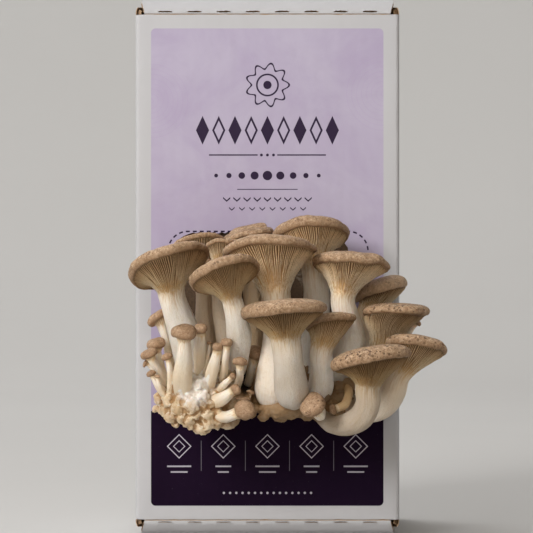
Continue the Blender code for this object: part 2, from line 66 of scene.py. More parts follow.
def link(name, data):
    """A new object of the scene."""
    obj = bpy.data.objects.new(name, data)
    bpy.context.scene.collection.objects.link(obj)
    return obj


def make_camera():
    data = bpy.data.cameras.new("camera")
    data.sensor_width = SENSOR
    data.lens = SENSOR * FACE_DISTANCE / FRAME_WIDTH
    data.clip_start, data.clip_end = 0.05, 30.0
    camera = link("camera", data)
    camera.location = CAMERA_AT
    camera.rotation_euler = (math.radians(90), 0, 0)
    bpy.context.scene.camera = camera


# ---- carton, as in the CAD ------------------------------------------------------------
BOX_WIDTH, BOX_DEPTH, BOARD = 140.0, 110.0, 3.0
FLAP_BULGE, FACE_HEIGHT = 10.0, 268.0
CORNER_RADIUS = 2.5
FACE_BOTTOM, FACE_TOP = FLAP_BULGE, FLAP_BULGE + FACE_HEIGHT
FRONT_Y, BACK_Y = -BOX_DEPTH / 2, BOX_DEPTH / 2
GAP = 0.35
WINDOW = (-50.0, 43.0, 70.5, 162.5)  # left, right, bottom, top
WINDOW_RADIUS = 11.0
FLAP_HALF, FLAP_NECK_HALF, FLAP_CHAMFER = 67.6, 65.3, 12.0
TUCK_LENGTH, TUCK_LEAN = 19.0, 2.6
SLITS, SLIT_LENGTH, SLIT_PITCH = 8, 7.8, 15.5
DUST_LENGTH, DUST_FRONT, DUST_BACK, DUST_TAPER = 50.0, 11.0, 15.0, 7.0
BLOCK = ((-64.5, -50.4, 10.4), (64.5, 43.5, 254.0))

LINER = 0.42  # thickness of each of the board's two liners
MEDIUM = 0.24  # thickness of the fluted paper between them
FLUTE_PITCH = 6.35
FLUTE_SWING = BOARD / 2 - LINER - MEDIUM / 2 + 0.03  # half the flutes' height
EDGE = 0.02  # how far a liner's outer face or end stays inside the CAD's

# ---- mushrooms, as in the CAD ---------------------------------------------------------
# Each is keyed by its number. cap, radius, lean, back, dome, rim and stem are the CAD's, or
# within 2 mm or 3 degrees of them. Only for looks:
#    speckle: how dark the cap is spotted; painted_light: painted light that makes its skin paler
#    golden_and_shade: how brown the stem is, partly its own colour and partly painted shade
#    gill_shade: painted shade that browns the gills; below 0, painted light that makes them paler
#    painted_shade: painted shade that darkens both stem and gills
#   waves: the rim's undulation as (turns, up mm, out mm, phase in degrees)
#   droops: local bends of the rim as (at, half width in degrees, up mm, out mm)
#   thin: where the rim is thin, as (at, half width, share of its height)
#   funnel: the power of the gills' curve; skew: how far along x their middle moves
#   lobes: folded layers on the cap, as make_lobe takes them
# Angles run from the right (0) by way of the back (90); the front is 270. A stem is rows of
# (x, y, z, radius) from the neck down.
LARGE = {
    1: dict(cap=(-50.3, -112, 145.7), radius=21.6, lean=19, back=21, dome=4.8, rim=3.4,
            thin=(355, 45, 0.5), speckle=0.55, gill_shade=0.5, waves=((2, 0.5, 0.3, 40),
            (3, 0.4, 0.3, 200), (5, 0.2, 0.2, 90)), droops=((330, 26, 0.9, 0.4),),
            stem=((-49.0, -108, 131.5, 6.9), (-46.7, -103, 122.5, 7.2), (-43.4, -98, 112, 7.9),
                  (-41.0, -93, 101, 7.7), (-39.5, -86, 89, 7.2))),
    2: dict(cap=(-35.6, -70, 154.4), radius=14.0, lean=13, back=28, dome=3.0, rim=1.8, speckle=0.3,
            golden_and_shade=0.55, waves=((3, 0.4, 0.3, 70), (4, 0.25, 0.3, 10)),
            droops=((205, 45, 1.2, 0.8),),
            stem=((-34.0, -72, 142.5, 5.0), (-32.9, -71, 132, 4.8), (-31.0, -66, 111, 5.2),
                  (-29.0, -62, 94, 5.4))),
    3: dict(cap=(-23.8, -92.5, 155.0), radius=8.2, lean=4, back=22, dome=2.4, rim=1.5, speckle=0.3,
            golden_and_shade=0.45, waves=((3, 0.35, 0.3, 120), (5, 0.2, 0.2, 50)),
            stem=((-25.0, -91, 145.5, 3.8), (-25.0, -87, 131, 4.2), (-23.0, -82, 112, 4.6),
                  (-20.0, -75, 93, 4.6))),
    4: dict(cap=(-33.4, -86, 145.6), radius=5.3, lean=12, back=12, dome=2.2, rim=1.4, speckle=0.3,
            golden_and_shade=0.45, waves=((3, 0.2, 0.2, 0),),
            stem=((-33.6, -85.6, 139, 3.0), (-33.6, -84.5, 126, 3.4), (-33.2, -82, 110, 3.9),
                  (-31.4, -76, 93, 4.2))),
    5: dict(cap=(-9.8, -68.5, 160.8), radius=12.9, lean=10, back=3, dome=3.2, rim=1.6, speckle=0.25,
            golden_and_shade=0.75, painted_shade=0.25, waves=((2, 0.4, 0.4, 150), (3, 0.5, 0.3, 20),
            (6, 0.25, 0.2, 70)), lobes=((-9.9, -71.0, 163.6, 10.4, 6.4, 11, -26),
            (-11.4, -74.6, 161.0, 11.8, 6.0, 12, -20)),
            stem=((-8.8, -69, 148.5, 4.8), (-7.8, -69.5, 130, 5.0), (-7.4, -69, 110, 5.4),
                  (-8.6, -64, 92, 5.6))),
    6: dict(cap=(22.4, -80, 160.8), radius=20.5, lean=3, back=20, dome=6.4, rim=3.2,
            thin=(345, 50, 0.3), speckle=0.45, gill_shade=-0.9, waves=((2, 0.5, 0.4, 210),
            (3, 0.4, 0.3, 100), (7, 0.15, 0.2, 0)), droops=((215, 30, -1.2, 0.0),
            (272, 46, 1.1, 0.0)),
            stem=((24.4, -83, 143.5, 6.6), (25.6, -78, 127, 6.6), (24.5, -71, 106, 6.8),
                  (22.0, -64, 88, 6.8))),
    7: dict(cap=(1.3, -110, 152.0), radius=23.9, lean=2, back=13, dome=5.8, rim=2.6,
            thin=(352, 45, 0.5), speckle=0.35, golden_and_shade=0.22, gill_shade=-0.9, waves=((2, 0.7, 0.3, 180),
            (3, 0.5, 0.3, 250), (5, 0.25, 0.2, 30)), droops=((345, 22, -1.0, 0.0),
            (264, 46, 1.7, 0.0)),
            stem=((4.3, -111, 129.0, 7.2), (4.7, -109, 116, 7.0), (4.3, -110, 103, 7.3),
                  (3.8, -110.5, 89.5, 9.6), (3.4, -107, 81.8, 10.0), (3.2, -96, 79.5, 8.8))),
    8: dict(cap=(42.7, -103.5, 146.0), radius=19.8, lean=-4, back=9, dome=5.2, rim=2.6,
            thin=(345, 40, 0.4), speckle=0.4, gill_shade=-0.7, waves=((3, 0.4, 0.3, 330),
            (5, 0.35, 0.2, 120), (8, 0.2, 0.15, 0)), droops=((345, 20, -1.2, 0.3),
            (318, 13, 0.7, 0.2)),
            stem=((38.6, -104, 128.5, 6.2), (40.8, -100, 117, 6.8), (42.4, -94, 105, 8.4),
                  (38.6, -85, 91, 7.8), (33.0, -74, 83, 7.0))),
    9: dict(cap=(7.9, -141, 123.4), radius=21.5, lean=4, back=4, dome=4.8, rim=4.0,
            thin=(355, 60, 0.35), speckle=0.5, golden_and_shade=0.16, gill_shade=0.85, painted_shade=0.28,
            waves=((2, 0.35, 0.3, 60), (3, 0.3, 0.3, 170), (5, 0.15, 0.15, 280)),
            stem=((9.0, -140, 107.5, 7.4), (10.0, -138, 98.5, 7.5), (11.3, -133, 89.5, 8.2),
                  (12.2, -126.5, 82.6, 8.9), (12.8, -118.5, 79.5, 7.6))),
    10: dict(cap=(-21.8, -131, 140.8), radius=17.8, lean=16, back=23, dome=4.6, rim=3.4,
             thin=(345, 42, 0.5), speckle=0.6, gill_shade=0.75, painted_shade=0.13, waves=((2, 0.4, 0.3, 300),
             (3, 0.35, 0.3, 60), (6, 0.15, 0.15, 200)),
             stem=((-17.6, -130, 127.0, 4.8), (-15.6, -126.5, 119, 5.4), (-14.2, -121, 110, 6.0),
                   (-15.0, -112, 100, 5.6), (-16.0, -101, 92, 5.0))),
    11: dict(cap=(31.9, -120.0, 116.4), radius=13.2, lean=10, back=14, dome=3.6, rim=2.2,
             thin=(0, 40, 0.3), speckle=0.35, gill_shade=0.5, waves=((2, 0.4, 0.3, 220),
             (3, 0.35, 0.25, 20), (6, 0.15, 0.15, 0)),
             stem=((27.2, -120.5, 102.5, 5.9), (27.2, -117.5, 94, 5.8), (27.0, -111.5, 85.2, 6.4),
                   (26.6, -101, 80.6, 6.4))),
    12: dict(cap=(58.6, -75, 132.6), radius=14.6, lean=17, back=3, dome=6.0, rim=2.6, speckle=0.75,
             golden_and_shade=0.6, painted_light=0.30, waves=((2, 0.4, 0.3, 100), (3, 0.3, 0.3, 0),
             (5, 0.2, 0.2, 160)),
             stem=((52.8, -75, 121.0, 6.0), (49.6, -72, 110, 5.8), (43.6, -67, 96, 5.2),
                   (36.5, -61, 89, 4.8))),
    13: dict(cap=(66.1, -99, 121.2), radius=17.3, lean=0, back=6, dome=4.3, rim=2.2, speckle=0.85,
             funnel=2.3, skew=-2.2, waves=((2, 0.5, 0.3, 20), (3, 0.35, 0.3, 140),
             (6, 0.2, 0.2, 300)),
             stem=((56.4, -92, 97.5, 6.1), (53.6, -86, 89.5, 5.5), (49.4, -77, 82.5, 5.3),
                   (43.5, -67, 77.5, 5.1))),
    14: dict(cap=(51.2, -140, 98.8), radius=20.0, lean=9, back=6, dome=6.2, rim=3.2,
             thin=(0, 50, 0.3), speckle=0.9, golden_and_shade=0.40, gill_shade=1.0, painted_shade=0.38,
             waves=((2, 0.4, 0.3, 130), (3, 0.35, 0.3, 260), (5, 0.2, 0.2, 10)),
             stem=((49.9, -139, 84.5, 6.3), (50.0, -136, 76.5, 6.2), (46.6, -130, 69, 6.4),
                   (39.6, -120, 64.6, 5.5), (33.0, -108, 64.2, 4.6), (30.0, -96, 66.5, 4.6))),
    15: dict(cap=(75.2, -115, 104.4), radius=15.8, lean=-8, back=13, dome=4.4, rim=3.0,
             thin=(350, 40, 0.3), speckle=0.9, golden_and_shade=0.35, gill_shade=0.4, waves=((2, 0.4, 0.3, 250),
             (3, 0.3, 0.25, 80), (6, 0.2, 0.2, 150)),
             stem=((66.6, -113, 89.5, 6.1), (63.4, -109, 80, 6.6), (59.0, -102, 73.2, 6.8),
                   (52.0, -93, 70.2, 6.7), (43.5, -83, 71.5, 6.2))),
}
FUNNEL_POWER = 1.9

# cap: centre. size: cap radius and height. lean, back and stem: as above.
# golden_and_shade and speckle only choose which of the young ones' materials it has.
SMALL = {
    1: dict(cap=(-56.2, -94, 118.2), size=(6.3, 4.8), lean=40, back=8,
            stem=((-54.4, -93, 114.2, 2.7), (-52.4, -90.5, 107, 2.3), (-51.0, -86, 99, 2.5),
                  (-49.6, -82, 90, 2.6))),
    2: dict(cap=(-41.7, -127, 111.5), size=(6.8, 6.8), lean=-2, back=-10,
            stem=((-41.8, -125.6, 106.4, 3.4), (-42.0, -122.5, 98, 4.2), (-42.8, -117, 89, 4.8),
                  (-42.6, -107, 80, 4.6))),
    3: dict(cap=(-34.0, -114.5, 112.7), size=(3.5, 4.6), lean=8, back=-8,
            stem=((-33.5, -113.6, 108.8, 2.6), (-34.2, -110, 100, 3.5), (-34.2, -104, 90, 3.4))),
    4: dict(cap=(-57.2, -99, 104.6), size=(5.2, 5.2), lean=14, back=-6,
            stem=((-56.4, -98.6, 100, 2.0), (-54.9, -97, 94, 2.2), (-53.4, -93, 86, 2.4))),
    5: dict(cap=(-60.2, -108, 100.0), size=(4.4, 4.3), lean=26, back=-4,
            stem=((-58.6, -107, 96.4, 2.1), (-54.6, -101.5, 89.5, 2.6), (-49.8, -95, 81, 2.7))),
    6: dict(cap=(-50.8, -113, 98.8), size=(2.9, 3.3), lean=24, back=-4,
            stem=((-49.9, -112.6, 95.6, 1.4), (-49.3, -111.5, 89, 1.6), (-49.4, -107, 80, 1.8))),
    7: dict(cap=(-25.1, -123.5, 103.8), size=(2.8, 3.8), lean=-4, back=0,
            stem=((-25.6, -122.6, 100.2, 2.2), (-27.4, -119, 93.2, 2.9), (-29.6, -109, 85, 3.3))),
    8: dict(cap=(-20.2, -126.5, 106.2), size=(3.2, 3.8), lean=-4, back=0,
            stem=((-20.4, -125.6, 102.6, 1.7), (-21.4, -120, 96, 1.9), (-22.4, -110, 87, 2.1))),
    9: dict(cap=(-13.7, -123, 96.6), size=(3.7, 4.0), lean=-6, back=-4,
            stem=((-13.7, -122, 92.9, 1.8), (-13.9, -114, 88, 1.8), (-15.8, -104, 82.5, 2.0))),
    10: dict(cap=(-17.4, -121.6, 89.2), size=(1.8, 2.4), lean=-52, back=-6,
             stem=((-19.0, -120.6, 87.6, 1.5), (-22.2, -115, 84.2, 2.0), (-24.6, -106, 80, 2.3))),
    11: dict(cap=(-59.2, -108, 90.0), size=(2.4, 2.7), lean=28, back=-6,
             stem=((-57.7, -107.6, 87.4, 1.5), (-55.2, -106.5, 83, 2.0), (-51.2, -102, 77.6, 2.3))),
    12: dict(cap=(-15.9, -119.4, 82.4), size=(2.7, 3.8), lean=-62, back=-8,
             stem=((-18.6, -118.2, 80.6, 2.4), (-23.6, -114.6, 77.2, 3.3),
                   (-29.6, -106, 74.8, 3.7))),
    13: dict(cap=(-11.4, -121, 72.0), size=(4.9, 8.6), lean=-62, back=-22,
             stem=((-16.6, -118.2, 69.9, 2.9), (-21.0, -114, 68.2, 3.0), (-27.6, -104, 68, 3.2))),
    14: dict(cap=(22.4, -134, 75.6), size=(7.0, 7.0), lean=38, back=-30, speckle=1.0,
             stem=((24.6, -131.4, 71.8, 3.0), (26.2, -123, 70.2, 3.3), (26.0, -112, 70.4, 3.2),
                   (24.4, -101, 70.8, 3.0))),
    15: dict(cap=(33.2, -112, 71.8), size=(2.6, 3.0), lean=104, back=-10, golden_and_shade=True,
             stem=((35.8, -110.6, 72.4, 2.0), (39.6, -107.5, 74.4, 2.3), (41.4, -102, 79.8, 2.3),
                   (40.6, -95, 83.0, 2.2))),
    16: dict(cap=(-5.8, -102.6, 99.8), size=(4.6, 7.0), lean=-26, back=0,
             stem=((-7.4, -101.4, 95.2, 2.0), (-8.6, -97, 90, 2.0), (-10.0, -89, 84, 2.2))),
}
# The smallest pins, which belong to the foot's piece.
PINS = (
    dict(cap=(-62.3, -105, 95.0), size=(2.3, 1.7), lean=66, back=0,
         stem=((-60.8, -104.4, 94.2, 0.9), (-57.5, -102, 90.5, 1.1), (-53.5, -98, 85, 1.4))),
    dict(cap=(-55.9, -111, 88.6), size=(1.5, 1.3), lean=-10, back=-10,
         stem=((-55.7, -110.6, 87.2, 0.9), (-54.6, -108.6, 82.5, 1.3), (-51.5, -104, 77, 1.6))),
    dict(cap=(-12.3, -113, 77.6), size=(3.9, 2.0), lean=-6, back=-4,
         stem=((-12.2, -112.2, 76.0, 1.6), (-13.2, -108, 73.5, 2.2), (-16, -102, 71, 2.4))),
    dict(cap=(-8.8, -110, 80.6), size=(2.0, 1.8), lean=-18, back=0,
         stem=((-9.2, -109.4, 79.0, 1.0), (-10.6, -106, 76.0, 1.3), (-13.5, -101, 73, 1.6))),
    dict(cap=(77.4, -84, 115.4), size=(2.6, 2.4), lean=-36, back=0,
         stem=((76.0, -83.6, 113.4, 1.2), (71.5, -81, 107, 1.4), (62.5, -76, 97, 1.6),
               (50.0, -66, 84, 1.8))),
    dict(cap=(-29.4, -111, 105.6), size=(1.4, 1.5), lean=4, back=-6,
         stem=((-29.5, -110.8, 104.2, 0.8), (-30.2, -110, 98.5, 1.0), (-32.0, -107, 90, 1.3))),
)

FOOT_LUMPS = (
    ((-4, -60, 86), (42, 12, 14)),
    ((-34, -82, 78), (18, 24, 12)),
    ((-30, -70, 88), (17, 15, 9)),
    ((-20, -92, 76), (14, 17, 10)),
    ((6, -78, 82), (20, 16, 9)),
    ((6, -92, 74), (16, 14, 7)),
    ((20, -94, 72.5), (10, 13, 6.5)),
    ((9, -104, 72.5), (13, 13, 6.0)),
    ((28, -78, 78), (17, 18, 9)),
    ((31, -87, 69), (9, 12, 6.5)),
    ((34, -67, 83), (13, 11, 9)),
)
PRIMORDIA = (
    ((-50.5, -98, 77), 6.0), ((-51, -95, 71), 5.2), ((-46, -103, 70.5), 6.6),
    ((-45, -103, 79), 5.4), ((-41, -107, 74.5), 7.0), ((-38.5, -106, 67.5), 6.4),
    ((-34, -109, 76), 7.4), ((-34.5, -105, 63.6), 5.0), ((-30.5, -106, 68.5), 7.0),
    ((-25.5, -103, 68), 6.4), ((-19.5, -100, 66.8), 6.0), ((-27, -107, 77), 5.6),
    ((-34, -110, 84), 5.0), ((-12.0, -112, 76.4), 3.6), ((-16, -104, 74), 6.4),
)


# ---- node trees -----------------------------------------------------------------------
class Field:
    """A number at each point of a surface, which can be used in sums."""

    def __init__(self, made, socket):
        self.made, self.socket = made, socket

    def op(self, name, *others):
        return self.made.math(name, self, *others)

    def __add__(self, other):
        return self.op("ADD", other)

    def __sub__(self, other):
        return self.op("SUBTRACT", other)

    def __rsub__(self, other):
        return self.made.math("SUBTRACT", other, self)

    def __mul__(self, other):
        return self.op("MULTIPLY", other)

    def __truediv__(self, other):
        return self.op("DIVIDE", other)

    __radd__, __rmul__ = __add__, __mul__

    def __abs__(self):
        return self.op("ABSOLUTE")

    def min(self, other):
        return self.op("MINIMUM", other)

    def max(self, other):
        return self.op("MAXIMUM", other)

    def zigzag(self, height):
        """Up to height and down again, over and over."""
        return self.op("PINGPONG", height)

    def clamp(self):
        return self.made.math("ADD", self, 0.0, clamp=True)

    def smooth(self, low, high):
        """0 below low, 1 above high and smooth between; low may be above high."""
        node = self.made.add(
            "ShaderNodeMapRange", {0: self, 1: low, 2: high}, interpolation_type="SMOOTHSTEP"
        )
        return Field(self.made, node.outputs[0])


class Material:
    """One node material and short-hands for its nodes."""

    def __init__(self, name):
        self.material = bpy.data.materials.new(name)
        self.material.use_nodes = True
        self.tree = self.material.node_tree
        self.shader = self.tree.nodes["Principled BSDF"]
        # coordinates in the row frame, in metres
        self.position = self.tree.nodes.new("ShaderNodeTexCoord").outputs["Object"]

    def feed(self, socket, value):
        if isinstance(value, Field):
            value = value.socket
        if isinstance(value, bpy.types.NodeSocket):
            self.tree.links.new(value, socket)
        else:
            socket.default_value = value

    def add(self, kind, inputs, **settings):
        node = self.tree.nodes.new(kind)
        for key, value in settings.items():
            setattr(node, key, value)
        for key, value in inputs.items():
            self.feed(node.inputs[key], value)
        return node

    def math(self, operation, *values, clamp=False):
        values = dict(enumerate(values))
        node = self.add("ShaderNodeMath", values, operation=operation, use_clamp=clamp)
        return Field(self, node.outputs[0])

    def length(self, a, b):
        return self.math("SQRT", a * a + b * b)

    def axes(self):
        """x, y and z in the row frame, in millimetres."""
        node = self.add("ShaderNodeSeparateXYZ", {0: self.position})
        return [Field(self, out) * (1 / MM) for out in node.outputs]

    def attribute(self, name, vector=False):
        node = self.tree.nodes.new("ShaderNodeAttribute")
        node.attribute_name = name
        return node.outputs["Vector"] if vector else Field(self, node.outputs["Fac"])

    def noise(self, size, detail=3.0, roughness=0.55, grain=None, distortion=0.0):
        """Noise around 0.5 whose features are about size millimetres across, in the row
        frame or in the space of a vector socket."""
        node = self.add("ShaderNodeTexNoise", {
            "Vector": self.position if grain is None else grain,
            "Scale": 1 / (size * (MM if grain is None else 1)),
            "Detail": detail, "Roughness": roughness, "Distortion": distortion,
        })
        return Field(self, node.outputs[0])

    def spots(self, size):
        """Distance from the nearest of scattered points, in shares of size."""
        node = self.add("ShaderNodeTexVoronoi", {
            "Vector": self.position, "Scale": 1 / (size * MM), "Randomness": 1.0,
        })
        return Field(self, node.outputs["Distance"])

    def mix(self, factor, first, second):
        first, second = (
            (*value, 1.0) if isinstance(value, tuple) else value for value in (first, second)
        )
        node = self.add("ShaderNodeMix", {0: factor, 6: first, 7: second}, data_type="RGBA")
        return node.outputs[2]

    def layers(self, base, *rows):
        """Paints each row over the base: (mask, share, colour)."""
        for mask, share, colour in rows:
            base = self.mix(mask * share, base, colour)
        return base

    def ramp(self, factor, *stops):
        node = self.add("ShaderNodeValToRGB", {0: factor})
        row = node.color_ramp.elements
        while len(row) < len(stops):
            row.new(0.5)
        for element, (place, colour) in zip(row, stops):
            element.position = place
            element.color = (*colour, 1.0)
        return node.outputs[0]

    def finish(self, colour, roughness, bumps=(), **sockets):
        """bumps: (height field, how many millimetres a height of 1 stands for)."""
        sockets.update(Base_Color=colour, Roughness=roughness)
        normal = None
        for height, depth in bumps:
            node = self.add("ShaderNodeBump", {
                "Height": height, "Distance": depth * MM, "Strength": 1.0,
            })
            if normal is not None:
                self.tree.links.new(normal, node.inputs["Normal"])
            normal = sockets["Normal"] = node.outputs[0]
        for key, value in sockets.items():
            self.feed(self.shader.inputs[key.replace("_", " ")], value)
        return self.material


# ---- materials ------------------------------------------------------------------------
WHITE_BOARD = (0.505, 0.505, 0.523)
PALE_INK = (0.55, 0.52, 0.60)
FLESH_SUBSURFACE = dict(
    Subsurface_Weight=0.15, Subsurface_Scale=0.0016, Subsurface_Radius=(1.0, 0.6, 0.36),
    Specular_IOR_Level=0.28,
)


def board_bumps(made):
    """Fine paper tooth, and the flutes that show through the liner as faint uprights."""
    x, y, _ = made.axes()
    flutes = made.math("SINE", (x + y) * (TAU / FLUTE_PITCH))
    return [
        (flutes, 0.018), (made.noise(0.5, 4.0), 0.035), (made.noise(14.0, 2.0), 0.30),
    ]


def white_colour(made):
    """Coated white liner: cloudy, with a few grey fibres."""
    cloud = made.mix(made.noise(28.0), (0.482, 0.480, 0.498), (0.530, 0.530, 0.551))
    fibres = made.spots(3.1).smooth(0.09, 0.03) * made.noise(9.0).smooth(0.5, 0.68)
    return made.mix(fibres * 0.35, cloud, (0.50, 0.46, 0.43))


def white_material():
    made = Material("white_liner")
    rough = made.noise(3.0).smooth(0.0, 1.0) * 0.2 + 0.62
    return made.finish(white_colour(made), rough, board_bumps(made), Specular_IOR_Level=0.25)


def kraft_material():
    made = Material("kraft_paper")
    base = made.mix(made.noise(6.0, 4.0), (0.34, 0.215, 0.12), (0.47, 0.325, 0.20))
    fibre = made.noise(0.7, 5.0, 0.7).smooth(0.5, 0.75)
    colour = made.mix(fibre * 0.5, base, (0.58, 0.44, 0.30))
    return made.finish(colour, 0.85, [(made.noise(0.35, 4.0), 0.06)])


def union(parts):
    """Where any of the fields is, which is their maximum."""
    whole, *rest = parts
    for part in rest:
        whole = whole.max(part)
    return whole


# The label, and the dashed line round the window: middle x and z, half sizes and radius.
LABEL = (-0.1, 144.0, 61.6, 126.5, 2.4)
CUT_LINE = (0.3, 116.5, 53.0, 46.4, 10.5)
DARK_TOP = 67.7  # up to here the label is dark


def print_material():
    """White liner with a generic print: lilac field, dark foot and plain ornaments."""
    made = Material("printed_liner")
    length = made.length
    x, _, z = made.axes()

    def box(cx, cz, half_w, half_h, r):
        dx = (abs(x - cx) - (half_w - r)).max(0.0)
        dz = (abs(z - cz) - (half_h - r)).max(0.0)
        return length(dx, dz) - r

    def fill(distance, soft=0.11):
        return (0.5 - distance / soft).clamp()

    def line(distance, width):
        return fill(abs(distance) - width / 2)

    def repeat(pitch, count):
        """x within its own cell of a row of count cells, and that cell's middle."""
        half = 0.0 if count % 2 else 0.5
        index = made.math("ROUND", x / pitch - half) + half
        index = index.max(-(count - 1) / 2).min((count - 1) / 2)
        return x - index * pitch, index * pitch

    # faint fans of arcs in the two upper corners
    fans = [
        line(fan.zigzag(2.6) - 1.3, 0.42) * fill(fan - 21.0, 0.8)
        for fan in (length(x - 61.5, z - 236.0), length(x + 61.7, z - 232.0))
    ]
    cloud = made.noise(36.0, 4.0, 0.6, distortion=0.6).smooth(0.30, 0.70)
    lilac = made.layers(
        made.mix(cloud, (0.416, 0.361, 0.495), (0.467, 0.424, 0.541)),
        (made.noise(11.0).smooth(0.5, 0.8), 0.35, (0.402, 0.347, 0.467)),
        (z.smooth(170.0, 80.0), 0.5, (0.338, 0.275, 0.427)),
        (union(fans), 0.20, (0.40, 0.30, 0.50)),
    )

    # scalloped rosette
    reach = length(x, z - 240.5)
    turn = made.math("ARCTAN2", z - 240.5, x)
    ink = [
        line(reach - 10.0 - made.math("COSINE", turn * 9) * 1.5, 1.0),
        line(reach - 5.6, 0.9), fill(reach - 2.2),
    ]
    # row of lozenges, every other one open
    cell, middle = repeat(8.6, 9)
    lozenge = (abs(cell) / 3.5 + abs(z - 216.5) / 7.6 - 1.0) * 3.1
    open_one = (middle / 8.6).zigzag(1.0).smooth(0.4, 0.6)
    ink += [fill(lozenge) * (1.0 - open_one), line(lozenge + 0.5, 1.0) * open_one]
    ink.append(fill(box(0, 203.4, 31.0, 0.35, 0.1)) * fill(5.2 - abs(x)))
    ink.append(fill(length(repeat(3.2, 3)[0], z - 203.4) - 0.75))
    # dots that grow smaller towards the ends
    dot, where = repeat(6.8, 9)
    ink.append(fill(length(dot, z - 192.5) - (2.5 - abs(where) * 0.055)))
    ink.append(fill(box(0, 185.2, 16.0, 0.22, 0.1)))
    # small arrowheads that point at the window
    for count, height, width, half in ((9, 179.0, 0.9, 1.9), (8, 174.2, 0.7, 1.5)):
        head = abs(repeat(5.4, count)[0])
        ink.append(line(z - height - head * 0.9, width) * fill(head - half))
    # dashed cut line round the window
    cx, cz, half_w, half_h, r = CUT_LINE
    ax, az = abs(x - cx) - (half_w - r), abs(z - cz) - (half_h - r)
    corner = made.math("ARCTAN2", az.max(0.0), ax.max(0.0)) * r
    along = corner + (az.min(0.0) + half_h) - ax.min(0.0)
    dashes = fill(along.zigzag(1.85) - 1.08, 0.25)
    ink.append(line(box(*CUT_LINE), 0.85) * dashes)
    lilac = made.mix(union(ink) * 0.96, lilac, (0.016, 0.006, 0.028))

    # five open squares on their points with rules under them, and a row of beads
    cell, middle = repeat(23.4, 5)
    lean = abs(cell) + abs(z - 49.0)
    pale = [line((lean - 6.2) * 0.707, 0.48), line((lean - 3.0) * 0.707, 0.40)]
    tick, _ = repeat(23.4, 4)
    pale.append(fill(abs(tick) - 0.16, 0.1) * fill(abs(z - 44.0) - 8.0) * 0.30)
    bar = (1.0 - (middle / 23.4).zigzag(1.0) * 0.35) * 6.4
    for height, half in ((38.4, bar), (35.4, bar * 0.7)):
        pale.append(fill(abs(z - height) - 0.42) * fill(abs(cell) - half) * 0.8)
    pale.append(fill(length(repeat(3.3, 15)[0], z - 24.3) - 0.62) * 0.9)
    ground = made.mix(made.noise(30.0), (0.0074, 0.0021, 0.0113), (0.0106, 0.0036, 0.0160))
    ground = made.mix(union(pale) * 0.9, ground, PALE_INK)

    inked = made.mix(fill(z - DARK_TOP, 0.2), lilac, ground)
    scuffs = made.noise(1.3, 5.0, 0.7).smooth(0.66, 0.80)
    inked = made.mix(scuffs * 0.18, inked, WHITE_BOARD)
    label = fill(box(*LABEL), 0.2)
    colour = made.mix(label, white_colour(made), inked)
    rough = made.noise(2.5).smooth(0.0, 1.0) * 0.16 + 0.62 - label * 0.06
    return made.finish(colour, rough, board_bumps(made), Specular_IOR_Level=0.05)


def block_material():
    """Sawdust that white mycelium has grown through; its dark brown is partly the sawdust's
    own colour and partly painted shade of the carton's inside.
    """
    made = Material("substrate_crumb")
    # dark brown partly the sawdust's own colour, partly painted shade of the carton's inside
    chips_and_shade = made.mix(made.noise(1.6, 5.0, 0.65), (0.030, 0.017, 0.010), (0.140, 0.082, 0.042))
    threads = made.noise(9.0, 6.0, 0.62, distortion=1.2).smooth(0.55, 0.66)
    colour = made.mix(threads * 0.22, chips_and_shade, (0.60, 0.53, 0.42))
    return made.finish(colour, 0.9, [(made.noise(1.1, 5.0, 0.7), 0.5), (made.noise(5.0), 1.0)])


# Colours of the gills' edges and of the hollows between them, from the rim to the neck.
# The hollows' colours are darker as painted shade between the gills; near the rim both are
# darker, partly their own brown and partly painted shade under the rim.
CRESTS = ((0.34, 0.225, 0.125), (0.56, 0.395, 0.235), (0.78, 0.610, 0.410), (0.86, 0.74, 0.55),
          (0.88, 0.79, 0.64))
SHADED_VALLEYS = ((0.075, 0.042, 0.018), (0.130, 0.074, 0.032), (0.235, 0.138, 0.062),
           (0.46, 0.295, 0.145), (0.70, 0.53, 0.33))
CREST_END, SHADED_VALLEY_END = (0.88, 0.80, 0.68), (0.80, 0.68, 0.51)
GILL_SHADE_LOSS = (0.28, 0.40, 0.58)  # what gill_shade takes from red, green and blue, as painted shade
